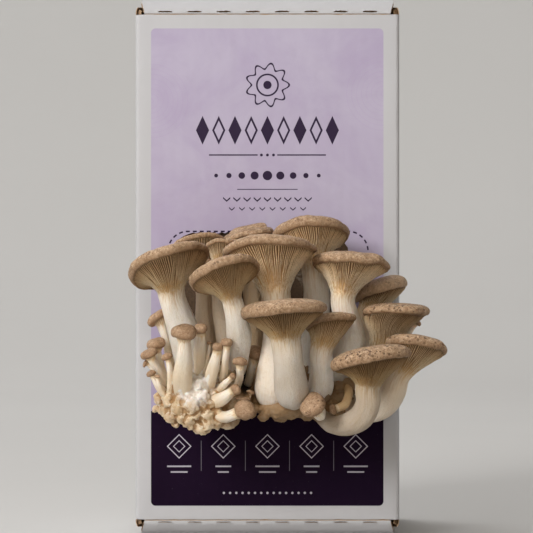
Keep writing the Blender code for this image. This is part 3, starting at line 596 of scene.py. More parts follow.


def flesh_material(name, speckle=0.4, young=False, golden_and_shade=0.0, gill_shade=0.0, painted_shade=0.0, painted_light=0.0):
    """Cap skin, gills and stem in one, told apart by the attribute zone: 0 middle of the
    cap, 1 its edge, 1.2 where the gills start, 2 neck, 3 foot. The attribute ridge is 1 on
    a gill's edge and 0 between gills; grain runs along the stem. golden_and_shade: how brown
    the stem is, partly its own colour and partly painted shade. gill_shade: how much painted
    shade browns and darkens the gills; below 0, how much paler they are painted, as painted
    lighting. painted_shade: how much painted shade darkens stem and gills. painted_light:
    how much paler the skin is painted, as painted lighting against a cast shadow."""
    made = Material(name)
    zone, ridge = made.attribute("zone"), made.attribute("ridge")
    grain = made.attribute("grain", vector=True)

    # cap skin: mottled tan with dark scales
    mottle = made.noise(6.0, 4.0, 0.6).smooth(0.30, 0.70)
    grainy, fleck = made.noise(1.35, 4.0, 0.68), made.noise(0.62, 3.0, 0.6)
    patch = made.noise(5.0, 3.0, 0.6)
    ragged = (made.noise(0.9, 3.0, 0.7) - 0.5) * 0.55
    scales = (made.spots(2.3) + ragged).smooth(0.36, 0.24)
    scales = scales * patch.smooth(0.62 - 0.20 * speckle, 0.70 - 0.20 * speckle)
    specks = (made.spots(1.7) + ragged * 0.6).smooth(0.36, 0.24)
    specks = specks * made.noise(3.1, 2.0).smooth(0.60 - 0.16 * speckle, 0.68 - 0.16 * speckle)
    marks = (scales * 0.92).max(specks * 0.80) * min(1.0, 0.15 + 0.90 * speckle)
    marks = marks * (0.35 + zone.smooth(0.30, 0.80) * 0.65)
    skin = made.layers(
        made.mix(mottle, (0.375, 0.242, 0.142), (0.520, 0.352, 0.218)),
        (grainy.smooth(0.50, 0.64), 0.75, (0.200, 0.114, 0.062)),
        (grainy.smooth(0.47, 0.36), 0.70, (0.740, 0.560, 0.395)),
        (fleck.smooth(0.54, 0.66), 0.45, (0.255, 0.150, 0.088)),
        (fleck.smooth(0.45, 0.36), 0.40, (0.690, 0.510, 0.360)),
    )
    skin = made.mix(marks, skin, (0.085, 0.042, 0.022))
    # painted shade: the skin darkens from the cap's edge to where it turns under the rim
    skin = made.mix(zone.smooth(0.94, 1.12) * 0.70, skin, (0.235, 0.138, 0.070))
    if young:
        skin = made.mix(0.40, skin, (0.330, 0.200, 0.118))
    # painted light: the skin is paler where a neighbour's cap casts its shadow
    if painted_light:
        skin = made.mix(painted_light, skin, (0.80, 0.60, 0.42))

    # gills: greyish tan near the edge, golden towards the neck, with painted shade between the
    # gills and under the rim
    shade, streak = made.noise(1.0, 3.0, 0.6, grain), made.noise(0.42, 2.0, 0.6, grain)
    shaded_valleys = SHADED_VALLEYS
    if young:
        shaded_valleys = [[0.4 * v + 0.6 * c for v, c in zip(*pair)] for pair in zip(SHADED_VALLEYS, CRESTS)]
    # painted shade that browns and darkens the gills; below 0, painted light that pales them
    left = [1 - max(gill_shade, 0) * share for share in GILL_SHADE_LOSS]
    ramps = []
    for row, last in ((CRESTS, CREST_END), (shaded_valleys, SHADED_VALLEY_END)):
        stops = []
        for colour in row:
            gain = min(1 - 0.5 * min(gill_shade, 0), 0.92 / colour[0])
            stops.append([c * gain * share for c, share in zip(colour, left)])
        places = zip((0.0, 0.09, 0.26, 0.48, 0.64, 0.80), (*stops, last))
        ramps.append(made.ramp(zone - 1.2, *places))
    crest, shaded_valley = ramps
    gills = made.mix(ridge.smooth(0.12, 0.75), shaded_valley, crest)
    gills = made.mix(streak.smooth(0.52, 0.66) * 0.35, gills, shaded_valley)

    # stem: cream white, golden in the folds, with fine fibres along it
    clouds, bruise = made.noise(15.0).smooth(0.3, 0.75), made.noise(7.0, 4.0, 0.6)
    scurf = made.noise(0.9, 3.0, 0.65)
    cream = made.layers(
        made.mix(clouds, (0.875, 0.835, 0.775), (0.835, 0.765, 0.665)),
        (shade.smooth(0.50, 0.70), 0.26, (0.69, 0.54, 0.36)),
        (streak.smooth(0.56, 0.68), 0.24, (0.64, 0.48, 0.30)),
        (bruise.smooth(0.58, 0.74), 0.20, (0.70, 0.53, 0.34)),
        (scurf.smooth(0.56, 0.68), 0.20, (0.62, 0.49, 0.35)),
        (zone.smooth(2.30, 1.95), 0.25, (0.80, 0.64, 0.42)),
    )
    if young:
        cream = made.mix(zone.smooth(2.0, 2.6) * 0.68, cream, (0.80, 0.635, 0.42))
    # golden brown stem: partly its own colour, partly painted shade
    if golden_and_shade:
        cream = made.mix(golden_and_shade, cream, (0.60, 0.385, 0.175))

    colour = made.mix((zone + (streak - 0.5) * 0.5).smooth(1.76, 2.08), gills, cream)
    # golden patches where the gills run out
    collar = zone.smooth(1.45, 1.72) * (zone + (shade - 0.5) * 0.5).smooth(2.28, 1.88)
    patches = made.noise(0.75, 2.0, 0.6, grain).smooth(0.44, 0.62)
    colour = made.mix(collar * patches * 0.62, colour, (0.56, 0.335, 0.130))
    # painted shade: stem and gills darker where the mushroom lies in shadow
    if painted_shade:
        colour = made.mix(painted_shade, colour, (0.060, 0.034, 0.014))
    colour = made.mix(zone.smooth(1.20, 1.13), colour, skin)
    on_cap = zone.smooth(1.22, 1.10)
    return made.finish(colour, made.noise(2.2).smooth(0.0, 1.0) * 0.16 + 0.54, [
        ((fleck + grainy) * on_cap, 0.16), (marks * on_cap, -0.14),
        ((shade + streak) * zone.smooth(1.5, 2.2), 0.11),
        ((made.noise(0.6, 3.0, 0.65) + scurf * 1.5) * zone.smooth(2.0, 2.3), 0.26),
        (made.noise(2.6, 3.0, 0.6), 0.30),
    ], **FLESH_SUBSURFACE)


# Middle (x, z) and half axes of the foot's white fuzz and of the hole right of it.
FUZZ = (-37.0, 84.0, 12.0, 11.0)
HOLE = (-11.5, 84.6, 2.9, 5.2)


def foot_material():
    """The fused foot: cream nodules, fuzzy white where it is young. Painted shade makes it
    brown and darker in the creases, darker on the right under the big caps and near black
    in the hole.
    """
    made = Material("foot_flesh")
    x, _, z = made.axes()
    crease_shade, tip = made.attribute("crease_shade"), made.attribute("tip")

    def away(middle_x, middle_z, half_w, half_h):
        """Distance from the middle of an oval, 1 on its edge."""
        return made.length((x - middle_x) / half_w, (z - middle_z) / half_h)

    fuzz = away(*FUZZ) + (made.noise(3.2) - 0.5) * 1.3
    hole = away(*HOLE) + (made.noise(2.0, 2.0) - 0.5) * 0.4
    # painted shade: the foot's right, under the big caps, is darker
    shaded = x + (made.noise(5.0, 2.0) - 0.5) * 8.0
    base = made.layers(
        made.mix(made.noise(6.0).smooth(0.32, 0.70), (0.735, 0.610, 0.440), (0.555, 0.395, 0.228)),
        (made.noise(2.0).smooth(0.50, 0.70), 0.60, (0.44, 0.275, 0.130)),
        (made.noise(3.4, 3.0, 0.6).smooth(0.56, 0.68), 0.65, (0.86, 0.80, 0.70)),
        # painted shade: brown and darker in the creases
        (crease_shade.smooth(0.0, 0.38), 0.88, (0.34, 0.190, 0.075)),
        (fuzz.smooth(1.10, 0.55) * (1.0 - crease_shade * 0.35), 0.95, (0.91, 0.885, 0.84)),
        (tip, 0.80, (0.40, 0.25, 0.145)),
        (shaded.smooth(-24.0, -12.0), 0.88, (0.250, 0.150, 0.070)),
    )
    # painted shade: the hole is painted near black
    base = made.mix(hole.smooth(1.25, 0.75), base, (0.020, 0.010, 0.005))
    return made.finish(base, 0.62, [
        (made.noise(0.6, 4.0, 0.65), 0.18), (made.noise(1.4, 3.0, 0.6), 0.50),
    ], **FLESH_SUBSURFACE)


# ---- meshes ---------------------------------------------------------------------------
def add_object(name, points, faces, materials, indices=None, smooth=True):
    """A mesh piece from points in millimetres."""
    mesh = bpy.data.meshes.new(name)
    mesh.from_pydata((np.asarray(points, float) * MM).tolist(), [], faces)
    for finish in materials:
        mesh.materials.append(finish)
    if indices is not None:
        mesh.polygons.foreach_set("material_index", np.asarray(indices, np.int32))
    if smooth:
        mesh.shade_smooth()
    return link(name, mesh)


def object_of(name, bm):
    """A new object with the bmesh as its mesh."""
    mesh = bpy.data.meshes.new(name)
    bm.to_mesh(mesh)
    bm.free()
    return link(name, mesh)


def outwards(obj):
    """Turns all faces outwards."""
    bm = bmesh.new()
    bm.from_mesh(obj.data)
    bmesh.ops.recalc_face_normals(bm, faces=bm.faces[:])
    bm.to_mesh(obj.data)
    bm.free()


def settle(obj):
    """Applies an object's modifiers to its mesh."""
    view = bpy.context.evaluated_depsgraph_get()
    view.update()
    mesh = bpy.data.meshes.new_from_object(obj.evaluated_get(view))
    old = obj.data
    obj.modifiers.clear()
    obj.data = mesh
    bpy.data.meshes.remove(old)


def join(objects):
    """Joins the rest into the first."""
    with bpy.context.temp_override(
        active_object=objects[0], selected_objects=objects, selected_editable_objects=objects
    ):
        bpy.ops.object.join()


def place(obj, slot, *nodes, body="carton"):
    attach(obj, body)
    if nodes:
        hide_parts(*nodes)
    return obj


def set_attribute(mesh, name, values):
    values = np.asarray(values, np.float32)
    vector = values.ndim == 2
    made = mesh.attributes.new(name, "FLOAT_VECTOR" if vector else "FLOAT", "POINT")
    made.data.foreach_set("vector" if vector else "value", values.ravel())


def read(rows, field, kind=np.float32, width=3):
    """One field of all of a mesh's vertices, normals or edges."""
    values = np.empty((len(rows), width), kind)
    rows.foreach_get(field, values.ravel())
    return values


def smoothstep(low, high, value):
    t = np.clip((np.asarray(value, float) - low) / (high - low), 0, 1)
    return t * t * (3 - 2 * t)


def unit(rows):
    return rows / np.linalg.norm(rows, axis=-1, keepdims=True)


def run_along(line):
    """Distance of each point of a line from its start."""
    step = np.linalg.norm(np.diff(line, axis=0), axis=1)
    return np.concatenate(([0], np.cumsum(step)))


def tangents(line):
    before = np.vstack((line[:1], line[:-1]))
    after = np.vstack((line[1:], line[-1:]))
    return unit(after - before)


def catmull(points, per_span):
    """Catmull-Rom curve through points of any dimension, one row for each step."""
    rows = np.asarray(points, float)
    rows = np.vstack((2 * rows[0] - rows[1], rows, 2 * rows[-1] - rows[-2]))
    curve = []
    for a, b, c, d in zip(rows, rows[1:], rows[2:], rows[3:]):
        for t in np.arange(per_span) / per_span:
            curve.append(0.5 * (
                2 * b + (c - a) * t + (2 * a - 5 * b + 4 * c - d) * t * t
                + (3 * b - a - 3 * c + d) * t ** 3
            ))
    curve.append(rows[-2])
    return np.array(curve)


def slerp(a, b, share):
    angle = math.acos(max(-1.0, min(1.0, float(a @ b))))
    if angle < 1e-6:
        return a
    return (math.sin((1 - share) * angle) * a + math.sin(share * angle) * b) / math.sin(angle)


def cap_axis(lean, back):
    lean, back = math.radians(lean), math.radians(back)
    return np.array((
        -math.sin(lean) * math.cos(back), math.sin(back), math.cos(lean) * math.cos(back),
    ))


GRAIN_STRETCH = 0.07  # how much a millimetre along the stem counts in its grain


class Lathe:
    """Rows of points round a bent axis: centre, way, reach and zone of each."""

    def __init__(self):
        self.rows = []

    def row(self, centre, way, reach, zone):
        self.rows.append((centre, way, reach, zone))

    def arrays(self):
        self.centres, self.ways, self.reach, self.zone = map(np.array, zip(*self.rows))
        self.along = run_along(self.centres)
        across, self.across, self.beside = np.array((1.0, 0.0, 0.0)), [], []
        for way in self.ways:
            across = unit(across - way * (across @ way))
            self.across.append(across)
            self.beside.append(np.cross(way, across))
        self.across, self.beside = np.array(self.across), np.array(self.beside)

    def points(self, angles, reach, rise):
        """Points at angles, reach and rise along the way, all rows x sides."""
        return (
            self.centres[:, None] + self.ways[:, None] * rise[..., None]
            + self.across[:, None] * (np.cos(angles) * reach)[..., None]
            + self.beside[:, None] * (np.sin(angles) * reach)[..., None]
        )

    def values(self, angles, ridge):
        """The attributes: zone, ridge, and grain as coordinates that stretch along the axis."""
        reach, height = self.reach[:, None], self.along[:, None] * GRAIN_STRETCH
        grain = np.broadcast_arrays(np.cos(angles) * reach, np.sin(angles) * reach, height)
        zone = np.broadcast_to(self.zone[:, None], angles.shape)
        return dict(zone=zone, ridge=ridge, grain=np.stack(grain, 2))


def grid_normals(points):
    """Outward normals of rows x sides of points, closed round the sides."""
    round_way = np.roll(points, -1, 1) - np.roll(points, 1, 1)
    down = np.empty_like(points)
    down[1:-1] = points[2:] - points[:-2]
    down[0], down[-1] = points[1] - points[0], points[-1] - points[-2]
    return unit(np.cross(down, round_way) + 1e-12)


def stitch(rows, tip, end):
    """Faces between rings of point numbers; a ring may have half its neighbour's points.
    tip and end are the numbers of the points that close the first and last ring."""
    faces = []
    for above, below in zip(rows, rows[1:]):
        m, n = len(above), len(below)
        for k in range(min(m, n)):
            j = (k + 1) % min(m, n)
            if m == n:
                faces.append((above[k], below[k], below[j], above[j]))
            elif m > n:
                a, b, c = above[2 * k], above[2 * k + 1], above[(2 * k + 2) % m]
                faces += [(a, below[k], b), (b, below[k], below[j]), (b, below[j], c)]
            else:
                a, b, c = below[2 * k], below[2 * k + 1], below[(2 * k + 2) % n]
                faces += [(above[k], a, b), (above[k], b, above[j]), (above[j], b, c)]
    first, last = rows[0], rows[-1]
    faces += [(tip, a, b) for a, b in zip(first, first[1:] + first[:1])]
    faces += [(end, b, a) for a, b in zip(last, last[1:] + last[:1])]
    return faces


def body_of_rows(name, grid, steps, values, finish, above=0.0, below=0.0):
    """A closed piece from rows x sides of points. Row i keeps every steps[i]th point.
    values are further arrays (rows x sides, with or without a third axis). above and below
    say how far the points that close it lie from the middles of the first and last row."""
    points, kept, rings, total = [], {key: [] for key in values}, [], 0
    for i, step in enumerate(steps):
        points.append(grid[i][::step])
        rings.append(list(range(total, total + len(points[-1]))))
        total += len(points[-1])
        for key, array in values.items():
            kept[key].append(array[i][::step])
    ends = [grid[0].mean(0) + above], [grid[-1].mean(0) + below]
    faces = stitch(rings, total, total + 1)
    obj = add_object(name, np.concatenate((*points, *ends)), faces, [finish])
    for key, array in values.items():
        ends = [array[k].mean(0, keepdims=True) for k in (0, -1)]
        set_attribute(obj.data, key, np.concatenate((*kept[key], *ends)))
    return obj, rings


def ripples(angles, along, seed, parts):
    """Smooth irregular waves: parts are (turns, amplitude, change of phase along)."""
    draw = random.Random(seed)
    total = np.zeros(np.broadcast(angles, along).shape)
    for turns, size, drift in parts:
        total = total + size * np.cos(
            turns * angles + draw.uniform(0, TAU) + drift * along * draw.uniform(0.6, 1.4)
        )
    return total


def bell(angles, at, half_width):
    off = (angles - math.radians(at) + math.pi) % TAU - math.pi
    return np.exp(-(off / math.radians(half_width)) ** 2)


# ---- large mushrooms ------------------------------------------------------------------
DOME_ROWS, STEM_STEPS = 13, 9
SPAN = 48  # points on each span of the line of gills and stem
GILL_SHARES = np.concatenate(((0.012, 0.03, 0.06, 0.10), np.linspace(0.15, 0.95, 19), (1.0,)))
RIM_CURVE = (  # (share of the radius, depth in shares of the rim) from the edge to the gills
    (1.003, 0.10), (1.002, 0.32), (0.994, 0.55), (0.979, 0.76), (0.958, 0.92), (0.938, 1.0),
    (0.922, 1.01), (0.910, 0.97),
)
GILL_COLUMNS = np.array((0, 0.95, 2.05, 3, 3.95, 5.05))  # 0 and 3 are the gills' edges
GILL_PAIRS = ((17, 60), (11, 46), (7, 30), (0, 20))  # (least radius, pairs of gills)


def make_large(number, spec, finish):
    centre, axis = np.array(spec["cap"], float), cap_axis(spec["lean"], spec["back"])
    radius, dome, rim = spec["radius"], spec["dome"], spec["rim"]
    neck = spec["stem"][0][3]
    line = catmull(((*(centre - axis * rim), neck), *spec["stem"]), SPAN)
    ways = -tangents(line[:, :3])
    neck_way = unit(line[SPAN - 8, :3] - line[SPAN + 8, :3])  # where the gills run out

    lathe = Lathe()
    for step in range(1, DOME_ROWS + 1):
        angle = math.pi / 2 * step / (DOME_ROWS + 0.5)
        share = math.sin(angle) ** 0.833
        lathe.row(centre + axis * (dome * math.cos(angle)), axis, radius * share, share)
    for k, (share, depth) in enumerate(RIM_CURVE):
        lathe.row(centre - axis * rim * depth, axis, radius * share, 1.0 + 0.2 * k / 7)
    lip = len(lathe.rows)
    for share in GILL_SHARES:
        middle = line[int(round(share * SPAN)), :3].copy()
        middle[0] += spec.get("skew", 0.0) * math.exp(-((share - 0.2) / 0.2) ** 2)
        reach = neck + (radius * 0.93 - neck) * (1 - share) ** spec.get("funnel", FUNNEL_POWER)
        if share < 0.15:  # tucked inside the rolled edge
            reach = min(reach, radius * (0.906 - 0.2 * share))
        lathe.row(middle, slerp(axis, neck_way, share), reach, 1.2 + 0.8 * share)
    seam = len(lathe.rows) - 1
    last = len(line) - 1
    for place_at in np.linspace(SPAN, last, STEM_STEPS * (len(spec["stem"]) - 1) + 1)[1:]:
        i = int(round(place_at))
        fresh = smoothstep(SPAN, 1.5 * SPAN, i)
        way = unit(neck_way * (1 - fresh) + ways[i] * fresh)
        lathe.row(line[i, :3], way, line[i, 3], 2.0 + (i - SPAN) / (last - SPAN))
    lathe.arrays()

    # columns: three for each gill, crowded towards the gills' edges
    pairs = next(count for least, count in GILL_PAIRS if radius > least)
    sides, rows = pairs * 6, len(lathe.rows)
    column, index = np.arange(sides), np.arange(rows)
    crowd = GILL_COLUMNS[column % 6] - column % 6
    gill_number = (column + 1) // 3 % (2 * pairs)
    draw = np.random.default_rng(100 + number)
    turns, phases = draw.uniform(0.35, 1.25, 2 * pairs), draw.uniform(0, TAU, 2 * pairs)
    share = np.clip((lathe.zone - 1.2) / 0.8, 0, 1.6)
    share[seam + 1:] = 1 + (index[seam + 1:] - seam) / STEM_STEPS * 0.45
    share = share[:, None]
    below_lip = (index >= lip)[:, None]
    fade = smoothstep(1.55, 1.02, share) * below_lip
    plain = TAU * column / sides
    wobble = 0.40 * np.sin(
        TAU * turns[gill_number] * share + phases[gill_number]
    ) * smoothstep(0.0, 0.25, share)
    angles = (
        plain + (crowd + wobble) * (TAU / sides) * fade
        + ripples(plain[None], share * 2.2, number * 7 + 1, (
            (5, 0.016, 1.0), (9, 0.014, 1.4), (17, 0.012, 2.2), (29, 0.007, 3.0),
        )) * fade
    )

    # undulating, slightly irregular edge
    up, out = np.zeros(sides), np.zeros(sides)
    for turns, rise, wide, phase in spec["waves"]:
        up += rise * np.cos(turns * (plain - math.radians(phase)))
        out += wide * np.cos(turns * (plain - math.radians(phase + 50)))
    for at, half, rise, wide in spec.get("droops", ()):
        up += rise * bell(plain, at, half)
        out += wide * bell(plain, at, half)
    up += ripples(plain, 0.0, number * 7 + 2, ((13, 0.10, 0), (19, 0.08, 0), (31, 0.05, 0)))
    out += ripples(plain, 0.0, number * 7 + 3, ((11, 0.10, 0), (23, 0.08, 0), (37, 0.05, 0)))
    at, half, much = spec.get("thin", (0, 1, 0.0))
    thin = much * rim * bell(plain, at, half)
    zone = lathe.zone[:, None]
    edge = np.where(zone <= 1.2, smoothstep(0.35, 1.0, zone), (1 - np.clip(share, 0, 1)) ** 2.0)
    reach = lathe.reach[:, None] + out * edge * 0.8
    raised = np.zeros((rows, 1))
    raised[DOME_ROWS:lip, 0] = [depth for _, depth in RIM_CURVE]
    raised[lip:seam + 1] = (1 - share[lip:seam + 1]) ** 1.5
    # the middle of the cap is a little hollow
    rise = up * edge * 0.8 + raised * thin - 0.22 * dome * np.exp(-(zone / 0.34) ** 2)
    grid = lathe.points(angles, reach, rise)

    # gills: primary ones reach the stem, secondary ones end on the way
    ends = draw.uniform(0.40, 0.98, 2 * pairs)
    ends[::2] = draw.uniform(1.15, 1.60, pairs)
    heights = draw.uniform(0.80, 1.10, 2 * pairs)
    crest = (column % 3 == 0) * heights[gill_number]
    ridge = crest * smoothstep(0, 0.22, ends[gill_number] - share)
    depth = (
        smoothstep(-0.01, 0.07, share) * (1 - 0.55 * smoothstep(0.35, 1.0, share))
        * (1 - 0.70 * smoothstep(1.0, 1.15, share)) * fade
    )
    shift = (ridge - 0.45) * depth * (0.032 * radius + 0.12)
    # stem: long shallow furrows and swellings
    furrows = ripples(plain[None], lathe.along[:, None] / 22, number * 7 + 4, (
        (2, 0.034, 1.0), (3, 0.026, 1.2), (5, 0.012, 0.8), (8, 0.007, 0.6), (13, 0.004, 0.5),
    )) * lathe.reach[:, None]
    lumps = ripples(plain[None], lathe.along[:, None] / 5.0, number * 7 + 5, (
        (1, 0.10, 1.0), (2, 0.09, 1.3), (4, 0.05, 1.9),
    ))
    shift = shift + (furrows + lumps) * smoothstep(0.8, 1.25, share) * below_lip
    grid = grid + grid_normals(grid) * shift[..., None]
    ridge = np.where(depth > 0.02, np.clip(ridge * 1.1, 0, 1), 0.6)

    values = lathe.values(angles, ridge)
    steps = np.where(index < 6, 4, np.where(index < DOME_ROWS, 2, 1))
    steps = np.where(index > seam + 11, 2, steps)
    steps = np.where(index > seam + 14, 4, steps)
    seam_normals = grid_normals(grid)[seam]
    for part, low, high, slot, above, below in (
        ("cap", 0, seam, "cap_skin", axis * 0.02, 0.0),
        ("stem", seam, rows - 1, "stem_flesh", 0.0, lathe.ways[-1] * -1.6),
    ):
        span = slice(low, high + 1)
        obj, rings = body_of_rows(
            f"{part}_{number:02d}", grid[span], steps[span],
            {key: array[span] for key, array in values.items()}, finish, above, below,
        )
        # both sides of the seam shade alike
        shading = read(obj.data.vertex_normals, "vector")
        shading[rings[-1] if part == "cap" else rings[0]] = seam_normals
        obj.data.normals_split_custom_set_from_vertices(shading.tolist())
        if part == "cap" and "lobes" in spec:
            lobes = [make_lobe(number + k, *lobe, finish) for k, lobe in enumerate(spec["lobes"])]
            join([obj, *lobes])
        place(obj, slot, f"mushroom_{number:02d}_{part}")


# (share of the size, rise) of a lobe's rows, from the middle of the top to that of the underside
LOBE_CURVE = (
    (0.12, 1.25), (0.3, 1.20), (0.5, 1.04), (0.7, 0.76), (0.85, 0.42), (0.95, 0.10),
    (0.995, -0.18), (0.985, -0.42), (0.93, -0.50), (0.8, -0.05), (0.6, 0.2), (0.3, 0.3),
)


def make_lobe(seed, x, y, z, wide, deep, lean, back, finish):
    """A thin folded layer of skin on a cap: an upside-down dish with a rolled edge. wide and
    deep are its half sizes."""
    axis = cap_axis(lean, back)
    across = unit(np.array((1.0, 0.0, 0.0)) - axis * axis[0])
    beside = np.cross(axis, across)
    angles = TAU * np.arange(64) / 64
    edge = ripples(angles, 0.0, 900 + seed, ((2, 0.07, 0), (3, 0.05, 0), (5, 0.03, 0)))
    waves = ripples(angles, 0.0, 950 + seed, ((3, 0.25, 0), (4, 0.2, 0)))
    grid = np.array([
        np.array((x, y, z)) + axis * (rise + waves * share ** 2)[:, None]
        + across * (np.cos(angles) * wide * share * (1 + edge * share))[:, None]
        + beside * (np.sin(angles) * deep * share * (1 + edge * share))[:, None]
        for share, rise in LOBE_CURVE
    ])
    zone = np.repeat(np.linspace(0.3, 1.1, len(grid))[:, None], 64, 1)
    values = dict(zone=zone, ridge=zone * 0 + 0.6, grain=np.repeat(zone[..., None], 3, 2))
    return body_of_rows("lobe", grid, [1] * len(grid), values, finish)[0]


# ---- small mushrooms ------------------------------------------------------------------
BUTTON_CURVE = (  # (share of the cap's radius, height in shares of the cap's) below the top
    (1.0, 0.03), (1.01, -0.07), (1.0, -0.17), (0.965, -0.27), (0.905, -0.35), (0.82, -0.40),
    (0.73, -0.41), (0.65, -0.38),
)
BUTTON_BEND = 0.6  # share of the way from cap to stem that its neck turns


def make_button(name, number, spec, sides, finish):
    """A young mushroom: domed cap, short neck and stem in one body."""
    axis, centre = cap_axis(spec["lean"], spec["back"]), np.array(spec["cap"], float)
    radius, height = spec["size"]
    line = catmull(spec["stem"], 12)
    ways = -tangents(line[:, :3])
    neck = line[0, 3]
    lathe = Lathe()
    for step in range(1, 9):
        angle = math.pi / 2 * step / 8.8
        share = math.sin(angle) ** 0.94
        rise = height * (0.05 + 0.53 * math.cos(angle))
        lathe.row(centre + axis * rise, axis, radius * share, share)
    for k, (share, rise) in enumerate(BUTTON_CURVE):
        reach = max(radius * share, neck * 1.04)
        lathe.row(centre + axis * height * rise, axis, reach, 1.0 + 0.2 * k / 7)
    start, _, start_reach, _ = lathe.rows[-1]
    for step in range(1, 6):
        share = step / 6
        middle = start * (1 - share) + line[0, :3] * share
        reach = neck + (start_reach - neck) * (1 - share) ** 1.7
        lathe.row(middle, slerp(axis, ways[0], BUTTON_BEND * share), reach, 1.2 + 0.8 * share)
    for i in range(0, len(line), 2):
        fresh = smoothstep(0, 8, i)
        way = unit(slerp(axis, ways[0], BUTTON_BEND) * (1 - fresh) + ways[i] * fresh)
        lathe.row(line[i, :3], way, line[i, 3], 2.0 + i / (len(line) - 1))
    lathe.arrays()

    plain = TAU * np.arange(sides) / sides
    angles = np.repeat(plain[None], len(lathe.rows), 0)
    zone = lathe.zone[:, None]
    on_cap = smoothstep(1.25, 1.1, zone) * smoothstep(0.1, 0.8, zone)
    cap_wave = ripples(plain[None], zone, 500 + number, (
        (2, 0.060, 0.3), (3, 0.042, 0.4), (5, 0.018, 0.4),
    ))
    stem_wave = ripples(plain[None], lathe.along[:, None] / 9, 600 + number, (
        (2, 0.05, 1.0), (3, 0.04, 1.2), (5, 0.02, 0.8),
    ))
    reach = lathe.reach[:, None] * (1 + cap_wave * on_cap + stem_wave * (1 - on_cap))
    rise = ripples(plain[None], 0.0, 700 + number, ((2, 0.05, 0), (3, 0.035, 0))) * height * on_cap
    # short gills under a cap that is wide enough to show them
    under = (zone > 1.2) & (zone < 1.95)
    gills = 0.10 * np.cos(plain * (sides // 4)) * under * (radius > 3.5)
    grid = lathe.points(angles, reach + gills * radius / 5, rise)
    values = lathe.values(angles, np.where(under, 0.35 + gills * 3.5, 0.6))
    return body_of_rows(
        name, grid, [1] * len(grid), values, finish, axis * 0.01, lathe.ways[-1] * -0.9)[0]


# ---- the foot -------------------------------------------------------------------------
FOOT_VOXEL, FOOT_KEEP = 0.62, 0.50  # size of the fused mesh's cells, share of it that stays
HOLE_DEPTH, HOLE_BACK = 9.0, -80.0  # the hole is pressed into what lies in front of this y
# Knobs on the foot's open side: x, z, radius, number of small buds on it, brown of its tip.
KNOBS = (
    (-54.5, 79.6, 1.9, 0, 1.0), (-49.7, 76.0, 3.6, 18, 0.0), (-55.4, 75.8, 2.6, 4, 0.5),
    (-45.6, 72.4, 3.8, 0, 0.1), (-37.8, 74.2, 4.0, 7, 0.4), (-49.2, 67.6, 3.4, 2, 0.6),
    (-42.5, 67.6, 3.8, 1, 0.0), (-39.5, 65.3, 2.8, 3, 0.2), (-35.4, 69.4, 2.8, 9, 0.3),
    (-30.6, 69.6, 2.2, 8, 0.0), (-29.3, 64.6, 2.6, 7, 0.3), (-34.1, 61.6, 2.8, 6, 0.1),
    (-31.2, 61.4, 2.4, 5, 0.2), (-36.5, 63.0, 1.9, 2, 0.6), (-44.9, 77.3, 1.8, 0, 0.6),
    (-39.5, 78.6, 1.7, 2, 0.6), (-42.5, 82.6, 2.2, 4, 0.1), (-35.9, 85.3, 1.8, 1, 0.5),
    (-37.8, 81.4, 1.7, 2, 0.3), (-31.8, 78.8, 2.6, 5, 0.4), (-34.1, 83.9, 1.6, 1, 0.3),
    (-39.0, 88.0, 2.2, 3, 0.0), (-20.5, 65.6, 4.8, 2, 0.7), (-25.5, 70.5, 2.8, 3, 0.2),
    (-47.0, 81.0, 1.9, 0, 0.1), (-52.6, 71.6, 2.8, 3, 0.4), (-26.0, 64.6, 2.8, 3, 0.4),
    (-46.8, 64.4, 2.2, 2, 0.5), (-57.0, 71.5, 2.0, 2, 0.3), (-28.0, 75.0, 2.2, 2, 0.2),
)


def add_ball(bm, centre, axes, levels=3):
    made = bmesh.ops.create_icosphere(bm, subdivisions=levels, radius=1.0)
    for vert in made["verts"]:
        vert.co = Vector([(c + a * v) * MM for c, a, v in zip(centre, axes, vert.co)])


